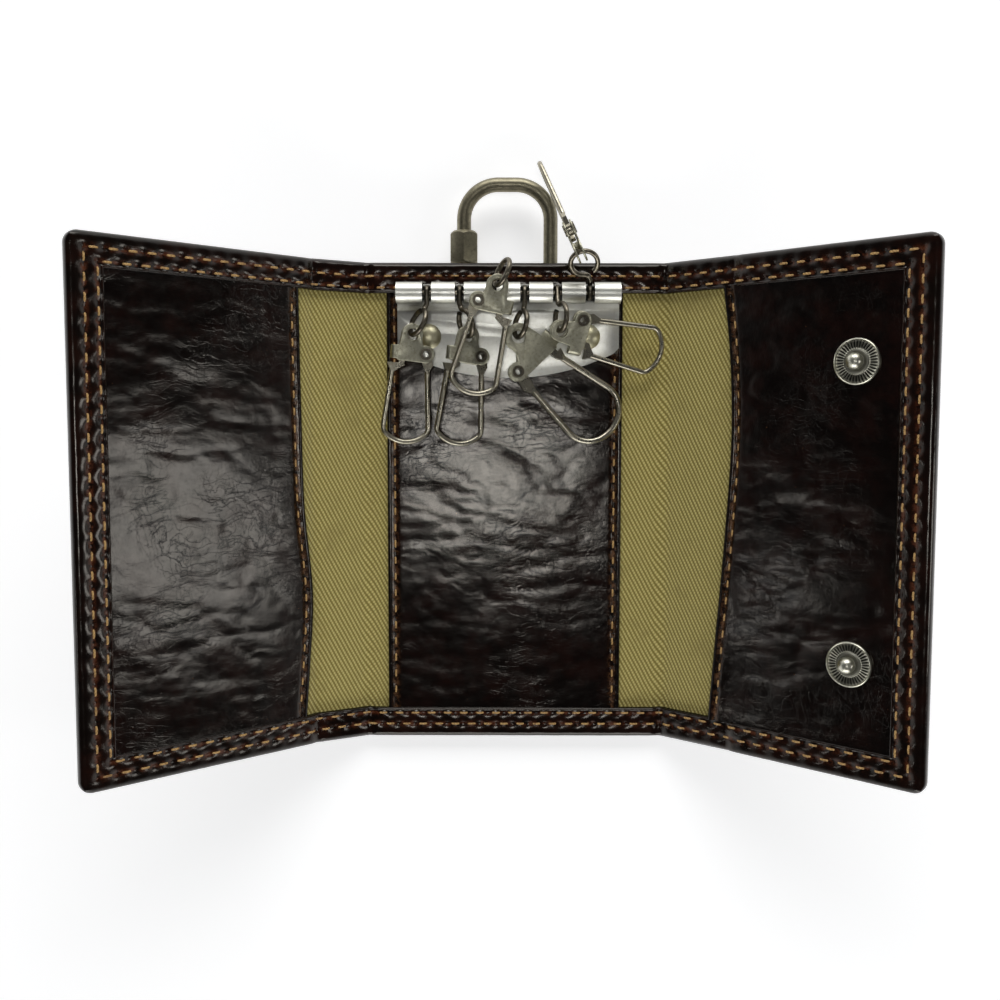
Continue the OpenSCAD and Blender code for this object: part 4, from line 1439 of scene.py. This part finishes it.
@dataclass
class Panels:
    """The centre panel and the two pockets, with their rolled edges and seams."""

    finishes: Finishes
    thick: float = 0.85
    tuck: float = 0.45
    seam_in: float = 1.75
    roll: float = 0.5
    hem: float = 0.22
    hem_w: float = 0.9
    least_mouth: float = 44.4
    stitches: StitchMaker = field(default_factory=StitchMaker)

    @property
    def half(self) -> float:
        """Half height of the panel and the pockets."""
        return CASE.half_h - CASE.border + self.tuck

    def mouth(self, side: Side, y: np.ndarray) -> np.ndarray:
        """Flat distance of a pocket's mouth from the middle, at heights along it.

        Args:
            side: The pocket's side.
            y: The heights.

        Returns:
            The distances.
        """
        if side is Side.LEFT:
            places, reach = (-48.0, -36.0, -22.0, 0.0, 20.0, 48.0), (46.3, 45.3, 44.4, 46.3, 46.8, 47.2)
        else:
            places, reach = (-48.0, -30.0, -8.0, 19.5, 36.0, 48.0), (48.6, 50.0, 51.8, 53.1, 52.2, 50.7)
        return smooth_curve(np.array(places), np.array(reach), y)

    def rolled(self, u: np.ndarray) -> np.ndarray:
        """Rise of the surface near a rolled edge at distances in from it."""
        hem = self.hem * (1 - smooth((u - self.hem_w) / 0.5))
        return hem - drop(u, self.roll) - self.hem * bell(u - self.seam_in, 0.45)

    def sheet(self, name: str, xs: list[float], place: Callable[[np.ndarray, np.ndarray], np.ndarray],
              edges: Rule, seed: int, swell: float) -> bpy.types.Object:
        """One sheet of leather with creases and swells.

        Args:
            name: Name of the piece.
            xs: X lines from the first edge.
            place: Flat X from a line's X and the height.
            edges: Distance in from the nearest rolled edge, by a line's X.
            seed: Seed of its creases.
            swell: Height of its soft swells.

        Returns:
            The piece, not yet carried.
        """
        obj = slab(xs, lines(-self.half, self.half, STEP), 1.0)
        co = read(obj)
        upper = co[:, 2] > 0.5
        u = edges(co[:, 0])
        ripples = Ripples(seed)
        x, y = place(co[:, 0], co[:, 1]), co[:, 1]
        calm = smooth(u / 3.0) * smooth((self.half - np.abs(y)) / 4.0)
        rise = swell * (ripples.rough(x * 0.05, y * 0.06, 2) - 0.45) * calm
        rise -= 0.07 * ripples.crease(x * 0.05 + 5, y * 0.13) * calm
        rise -= 0.05 * ripples.crease(x * 0.09 - 8, y * 0.2, 9.0) * calm
        puck = bell(u - self.seam_in, 0.5) * wave(y / PITCH) ** 2
        top = CASE.panel_z + self.rolled(u) + np.maximum(rise, -0.3) - 0.16 * puck
        put_flat(obj, np.stack([x, y, np.where(upper, top, CASE.panel_z - self.thick)], axis=1))
        keep(obj, "wear", 0.8 * bell(u - self.seam_in, 0.7))
        keep(obj, "ink", np.where(u < self.hem_w, 0.6, 0.0))
        finish_mesh(obj, name)
        dress(obj, self.finishes.inner)
        return obj

    def seam(self, name: str, edge: Rule, sign: int) -> bpy.types.Object:
        """A row of stitches beside an edge.

        Args:
            name: Name of the piece.
            edge: Flat X of the edge at heights along it.
            sign: 1 where the leather lies at greater X than its edge.

        Returns:
            The piece, not yet carried.
        """
        ys = (np.arange(-13, 13) + 0.5) * PITCH
        ys = ys[np.abs(ys) < CASE.half_h - CASE.border - 1.0]
        turns = np.arctan2(1.0, edge(ys + 0.5) - edge(ys - 0.5))
        z = CASE.panel_z - 0.2
        spots = [(x, y, z, turn, 1.0) for x, y, turn in zip(edge(ys) + sign * self.seam_in, ys, turns)]
        obj = self.stitches.sew(name, spots, self.finishes.thread)
        return obj

    def pocket(self, side: Side) -> None:
        """One pocket and its seam.

        Args:
            side: The pocket's side.
        """
        sign, name = side.value, side.name.lower()
        end = CASE.reach - CASE.border + self.tuck
        width = end - self.least_mouth
        steps = [*EDGE_LINES, *lines(3.0, width, STEP)]

        def place(u: np.ndarray, y: np.ndarray) -> np.ndarray:
            """Flat X that starts at the curved mouth and ends at the border."""
            mouth = self.mouth(side, y)
            return sign * (mouth + u * (end - mouth) / width)

        obj = self.sheet(f"pocket_{name}", steps, place, lambda u: u, 21 + sign, 0.45)
        if side is Side.LEFT:
            turn_outwards(obj)
        seam = self.seam(f"pocket_stitches_{name}", lambda y: sign * self.mouth(side, y), sign)
        mean = end - float(np.mean(self.mouth(side, np.linspace(-self.half, self.half, 50))))
        for piece in (obj, seam):
            if side is Side.LEFT:
                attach(piece, "left_wing")
            else:
                Zone.RIGHT_WING.carry(piece)
        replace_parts(obj, f"{name}_pocket")
        LOG.info("%s pocket", name)

    def centre(self) -> None:
        """The centre panel with a seam along each side."""
        half = CASE.panel_half
        middle = lines(-half + 3.0, half - 3.0, STEP)
        steps = [*(r - half for r in EDGE_LINES), *middle, *(half - r for r in reversed(EDGE_LINES))]
        obj = self.sheet("centre_panel_leather", steps, lambda x, y: x, lambda x: half - np.abs(x), 31, 0.4)
        seams = [self.seam(f"panel_stitches_{side.name.lower()}",
                           lambda y, side=side: np.full_like(y, side.value * half), -side.value)
                 for side in Side]
        for piece in (obj, *seams):
            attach(piece, "back")
        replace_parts(obj, "centre_panel")
        LOG.info("centre panel")

    def build(self) -> None:
        """Builds the panel and both pockets."""
        self.centre()
        for side in Side:
            self.pocket(side)


def smooth_curve(places: np.ndarray, values: np.ndarray, at: np.ndarray) -> np.ndarray:
    """A smooth curve through a few values.

    Args:
        places: Rising places of the values.
        values: The values.
        at: Where the curve is wanted.

    Returns:
        The curve's values.
    """
    slopes = np.gradient(values, places)
    k = np.clip(np.searchsorted(places, at) - 1, 0, len(places) - 2)
    run = places[k + 1] - places[k]
    t = np.clip((at - places[k]) / run, 0, 1)
    a, b = values[k], values[k + 1]
    return ((2 * t**3 - 3 * t**2 + 1) * a + (t**3 - 2 * t**2 + t) * run * slopes[k]
            + (3 * t**2 - 2 * t**3) * b + (t**3 - t**2) * run * slopes[k + 1])


@dataclass
class ShackleTab:
    """The leather tab that loops round the shackle's lower bar behind the case."""

    finishes: Finishes
    middle: float = 0.6
    width: float = 13.0
    thick: float = 1.15
    bar: tuple[float, float] = (46.0, -3.9)
    mid_r: float = 2.7
    tail: float = 28.9
    edge_r: float = 0.5
    seam_in: float = 1.7

    @staticmethod
    def run(points: np.ndarray) -> np.ndarray:
        """Length of a line up to each of its points."""
        return np.concatenate([[0], np.cumsum(np.linalg.norm(np.diff(points, axis=0), axis=1))])

    def path(self) -> np.ndarray:
        """Middle line of the strap in the YZ plane, from its tail round the bar and back.

        Returns:
            Its points in millimetres, one a row.
        """
        first = [(self.tail + k * 1.3, -0.6) for k in range(11)]
        turns = np.radians(np.linspace(100.0, -148.0, 22))
        loop = [(self.bar[0] + self.mid_r * math.cos(t), self.bar[1] + self.mid_r * math.sin(t)) for t in turns]
        back = [(41.6 - k * 1.27, -1.8) for k in range(11)]
        points = np.array(first + loop + back)
        run = self.run(points)
        s = np.linspace(0, run[-1], 96)
        fine = np.stack([np.interp(s, run, points[:, k]) for k in (0, 1)], axis=1)
        for _ in range(6):
            fine[1:-1] = (fine[:-2] + 2 * fine[1:-1] + fine[2:]) / 4
        return fine

    def build(self) -> None:
        """Bends a strip along the path and presses a seam line along both its edges."""
        path = self.path()
        run = self.run(path)
        half = self.width / 2
        rim = (0.0, 0.08, 0.25, 0.6)
        across = [*(r - half for r in rim), *lines(-half + 1.1, half - 1.1, 0.9),
                  *(half - r for r in reversed(rim))]
        obj = slab(across, list(run), 1.0)
        co = read(obj)
        k = np.clip(np.searchsorted(run, co[:, 1]), 0, len(run) - 1)
        ahead, behind = path[np.minimum(k + 1, len(run) - 1)], path[np.maximum(k - 1, 0)]
        tangent = (ahead - behind) / np.linalg.norm(ahead - behind, axis=1)[:, None]
        normal = np.stack([-tangent[:, 1], tangent[:, 0]], axis=1)
        edge = half - np.abs(co[:, 0])
        thick = self.thick - 1.6 * drop(edge, self.edge_r) - 0.16 * bell(edge - self.seam_in, 0.4)
        off = (co[:, 2] - 0.5) * thick
        write(obj, MM * np.stack([co[:, 0] + self.middle, path[k, 0] + normal[:, 0] * off,
                                  path[k, 1] + normal[:, 1] * off], axis=1))
        keep(obj, "flat", np.stack([co[:, 0], co[:, 1] - 60.0, co[:, 2]], axis=1) * MM)
        keep(obj, "wear", 0.5 * bell(edge - self.seam_in, 0.6) + 0.4 * (edge < self.edge_r))
        keep(obj, "ink", np.zeros(len(co)))
        turn_outwards(obj)
        finish_mesh(obj, "shackle_tab_leather")
        dress(obj, self.finishes.outer)
        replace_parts(obj, "shackle_tab")
        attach(obj, "back")
        LOG.info("shackle tab")


# ---- hardware ----------------------------------------------------------------------------


@dataclass
class SnapStuds:
    """The two studs of the right wing: rolled rim, ribbed dish, collar and ball post."""

    finishes: Finishes
    ribs: int = 38
    turns: int = 152
    ball: tuple[float, float] = (1.75, 1.75)

    def profile(self) -> list[tuple[float, float]]:
        """Radius and height of the spun outline, from the axis below to the axis above.

        Returns:
            The outline's points.
        """
        rim = [(0.0, -0.1), (4.5, -0.1), (4.7, 0.02), (4.75, 0.35), (4.72, 0.6), (4.64, 0.76), (4.52, 0.82),
               (4.4, 0.76), (4.33, 0.6), (4.28, 0.42), (3.9, 0.4), (3.5, 0.4), (3.2, 0.4), (2.9, 0.4),
               (2.66, 0.42), (2.5, 0.52), (2.4, 0.7), (2.22, 0.78), (2.0, 0.76), (1.82, 0.66), (1.6, 0.62),
               (1.42, 0.7), (1.36, 1.0)]
        height, r = self.ball
        angles = np.radians(np.linspace(-38, 90, 14))
        return rim + [(r * math.cos(a) if a < 1.57 else 0.0, height + r * math.sin(a)) for a in angles]

    def one(self) -> bpy.types.Object:
        """One stud round the Z axis, spun from its outline, with pressed ribs and painted shade in its dish and
        collar.

        Returns:
            The stud in millimetres.
        """
        points = self.profile()
        mesh = bpy.data.meshes.new("stud_outline")
        mesh.from_pydata([(r, 0.0, z) for r, z in points], [(k, k + 1) for k in range(len(points) - 1)], [])
        obj = link("stud", mesh)
        alter(obj, bpy.ops.mesh.spin, steps=self.turns, angle=2 * math.pi, center=(0, 0, 0), axis=(0, 0, 1))
        alter(obj, bpy.ops.mesh.remove_doubles, threshold=0.0005)
        turn_outwards(obj)
        co = read(obj)
        r, turn = np.hypot(co[:, 0], co[:, 1]), np.arctan2(co[:, 1], co[:, 0])
        rib = np.cos(self.ribs * turn)
        dish = smooth((r - 2.55) / 0.3) * smooth((4.34 - r) / 0.12) * (co[:, 2] > 0.2)
        co[:, 2] += 0.16 * dish * rib
        collar = smooth((r - 1.36) / 0.1) * smooth((2.7 - r) / 0.15) * (co[:, 2] < 1.2) * (co[:, 2] > 0.2)
        # Painted shade: the dish is darkened, most in the grooves between its ribs, and the collar too.
        keep(obj, "soot", dish * (0.84 - 0.3 * rib) + 0.75 * collar)
        write(obj, co)
        return obj

    def build(self) -> None:
        """Sets both studs on the right wing."""
        for side, name in ((1, "upper"), (-1, "lower")):
            obj = self.one()
            spot = np.array([CASE.stud_x, side * CASE.snap_y, CASE.panel_z])
            write(obj, FOLDS.world(read(obj) + spot) * MM)
            finish_mesh(obj, f"snap_stud_{name}", 40.0)
            dress(obj, self.finishes.stud)
            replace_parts(obj, "snap_studs")
            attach(obj, "right_wing")
        LOG.info("snap studs")


class Hardware:
    """Finishes of the parts that the frame already shapes, some with their edges rounded."""

    sets: range = range(1, 7)
    soften: dict[str, float] = {"key_rail": 0.14, "shackle_nut": 0.3,
                                **dict.fromkeys([f"clip_plate_{n}" for n in sets], 0.13)}
    barrel: tuple[float, float, float] = (47.7, 6.0, 2.4)
    twisted: tuple[float, float] = (-16.45, -11.19)

    def __init__(self, finishes: Finishes) -> None:
        """Chooses a finish for each node that keeps its shape.

        Args:
            finishes: The finishes.
        """
        nickel, pale, brass, dark, board = (
            finishes.nickel, finishes.pale_brass, finishes.brass, finishes.dark, finishes.board)
        self.table = {
            "key_rail": nickel, "rail_rod": dark, "plate_rivets": pale, "rivet_washers": pale,
            "snap_sockets": brass, "socket_eyelets": brass, "snap_caps": nickel, "shackle": brass,
            "shackle_nut": brass, "stiffener_back": board, "left_wing_stiffener": board,
            "right_wing_stiffener": board}
        for n in self.sets:
            self.table |= {f"eye_pin_{n}": dark, f"clip_plate_{n}": finishes.clip,
                           f"clip_rivet_{n}": dark, f"wire_gate_{n}": finishes.wire}

    def straighten_barrel(self, obj: bpy.types.Object) -> None:
        """Lays the outer facets of one length of the barrel straight, where the frame's mesh twists them.

        Args:
            obj: The copy of the rail.
        """
        co = read(obj)
        x, y, z = co[:, 0] / MM, co[:, 1] / MM - self.barrel[0], co[:, 2] / MM - self.barrel[1]
        outside = np.abs(np.hypot(y, z) - self.barrel[2]) < 0.03
        ends = [outside & (np.abs(x - end) < 0.02) for end in self.twisted]
        both = ends[0] | ends[1]
        kept = [tuple(p.vertices) for p in obj.data.polygons
                if not both[list(p.vertices)].all() or np.ptp(x[list(p.vertices)]) < 1.0]
        low, high = (sorted(np.flatnonzero(end), key=lambda k: math.atan2(y[k], z[k])) for end in ends)
        strips = [(low[k], high[k], high[k + 1], low[k + 1]) for k in range(len(low) - 1)]
        mesh = bpy.data.meshes.new("barrel")
        mesh.from_pydata(co.tolist(), [], kept + [tuple(int(v) for v in strip) for strip in strips])
        obj.data = mesh

    def shade_barrel(self, obj: bpy.types.Object) -> None:
        """Gives the rail's rolled barrel round normals, and painted shade in its bore and on its sides that
        turn away from the top.

        Args:
            obj: The copy of the rail.
        """
        y, z = ((read(obj) / MM)[:, k] - axis for k, axis in ((1, self.barrel[0]), (2, self.barrel[1])))
        r, lean = np.hypot(y, z), np.abs(np.arctan2(y, z))
        outside, bore = np.abs(r - self.barrel[2]) < 0.06, r < self.barrel[2] - 0.25
        normals = np.stack([np.zeros_like(r), y / r, z / r], axis=1) * outside[:, None]
        obj.data.normals_split_custom_set_from_vertices(normals.tolist())
        # Painted shade: black in the bore, and darker on the barrel's sides as they turn away from the top.
        keep(obj, "soot", np.where(bore, 1.0, 0.6 * outside * smooth((lean - 0.8) / 0.7)))

    def rounded(self, name: str, width: float) -> bpy.types.Object:
        """A copy of a node with its sharp edges rounded.

        Args:
            name: The node.
            width: Width of the rounding in millimetres.

        Returns:
            The copy, which takes the node's place.
        """
        node = frame["nodes"][name]
        obj = link(f"{name}_worn", node.data.copy())
        alter(obj, bpy.ops.mesh.remove_doubles, threshold=0.000002)
        if name == "key_rail":
            self.straighten_barrel(obj)
        alter(obj, bpy.ops.mesh.dissolve_limited, angle_limit=math.radians(1.0))
        bevel = obj.modifiers.new("edge", "BEVEL")
        bevel.width, bevel.segments, bevel.limit_method = width * MM, 2, "ANGLE"
        bevel.angle_limit = math.radians(38.0)
        bpy.ops.object.modifier_apply(modifier="edge")
        finish_mesh(obj, f"{name}_worn", 35.0)
        if name == "key_rail":
            self.shade_barrel(obj)
        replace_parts(obj, name)
        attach(obj, node["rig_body"])
        return obj

    def build(self) -> None:
        """Dresses every node of the table."""
        for name, material in self.table.items():
            soft = name in self.soften
            dress(self.rounded(name, self.soften[name]) if soft else frame["nodes"][name], material)
        LOG.info("metal parts and boards")


# ---- studio ------------------------------------------------------------------------------


@dataclass
class Studio:
    """The camera of the photograph, a pale floor and soft lamps."""

    eye: tuple[float, float, float] = (-1.0, 17.3, 233.6)
    tilt: float = 4.1
    roll: float = 0.1
    tab_low: tuple[float, float] = (46.0, -7.25)
    gap: float = 0.03

    def camera(self) -> None:
        """Adds the camera."""
        data = bpy.data.cameras.new("camera")
        data.lens, data.sensor_width, data.sensor_fit = 36.0, 36.0, "HORIZONTAL"
        data.clip_start, data.clip_end = 0.01, 20.0
        obj = link("camera", data)
        tilt = Matrix.Rotation(math.radians(-self.tilt), 4, "X")
        roll = Matrix.Rotation(math.radians(self.roll), 4, "Z")
        obj.matrix_world = Matrix.Translation(Vector(self.eye) * MM) @ tilt @ roll
        bpy.context.scene.camera = obj

    def floor(self) -> None:
        """Adds a pale floor that the case's lower edge and its tab stand on."""
        deselect()
        bpy.ops.mesh.primitive_plane_add(size=6.0)
        obj = bpy.context.object
        obj.name = "floor"
        slope = math.atan2(-self.tab_low[1], self.tab_low[0] + CASE.half_h)
        edge = Matrix.Translation((0, -CASE.half_h * MM, -self.gap * MM))
        obj.matrix_world = edge @ Matrix.Rotation(-slope, 4, "X")
        material, g, shader = start_material("pale_floor")
        path = g.node("ShaderNodeLightPath")
        camera, glossy, clear = (Value(g, path.outputs[f"Is {kind} Ray"])
                                 for kind in ("Camera", "Glossy", "Transmission"))
        g.fill(shader, {"Base Color": (0.8, 0.8, 0.8, 1.0), "Roughness": 0.9, "Specular IOR Level": 0.0,
                        "Emission Color": WHITE, "Emission Strength": (camera + glossy + clear).cut() * 0.55})
        obj.data.materials.append(material)

    def lamp(self, name: str, place: tuple[float, float, float], size: tuple[float, float],
             power: float) -> None:
        """Adds a soft rectangular lamp that faces the case.

        Args:
            name: Its name.
            place: Its place in metres.
            size: Its two sides in metres.
            power: Its power in watts.
        """
        data = bpy.data.lights.new(name, "AREA")
        data.shape, data.size, data.size_y, data.energy = "RECTANGLE", *size, power
        obj = link(name, data)
        obj.location = place
        aim = Vector((0, 0.01, 0)) - Vector(place)
        obj.rotation_euler = aim.to_track_quat("-Z", "Y").to_euler()

    def build(self) -> None:
        """Adds everything round the case."""
        self.camera()
        self.floor()
        self.lamp("high_lamp", (-0.022, -0.022, 0.85), (0.18, 0.105), 0.68)
        self.lamp("right_lamp", (0.6, -0.08, 0.4), (0.16, 0.16), 0.43)
        self.lamp("left_lamp", (-0.61, -0.14, 0.32), (0.05, 0.05), 0.045)
        self.lamp("far_lamp", (0.05, 1.0, 0.5), (1.0, 0.5), 7.5)
        self.lamp("near_lamp", (-0.05, -1.0, 0.45), (0.9, 0.4), 5.0)
        world = bpy.data.worlds.new("studio")
        world.use_nodes = True
        g = Graph(world.node_tree)
        _, _, height = g.parts(g.place("Generated"))
        sky = g.mix(height.remap(0.14, 0.42), (0.85, 0.87, 0.9, 1.0), (0.03, 0.03, 0.033, 1.0))
        g.feed(world.node_tree.nodes["Background"].inputs["Color"], sky)
        bpy.context.scene.world = world
        bpy.context.scene.view_settings.view_transform = "Standard"
        LOG.info("camera, floor and lamps")


def main() -> None:
    """Builds the studio and dresses the case."""
    logging.basicConfig(level=logging.INFO, format="%(name)s: %(message)s")
    Studio().build()
    finishes = Finishes()
    LeatherShell(finishes).build()
    Linings(finishes).build()
    Panels(finishes).build()
    ShackleTab(finishes).build()
    SnapStuds(finishes).build()
    Hardware(finishes).build()


if __name__ == "__main__":
    main()
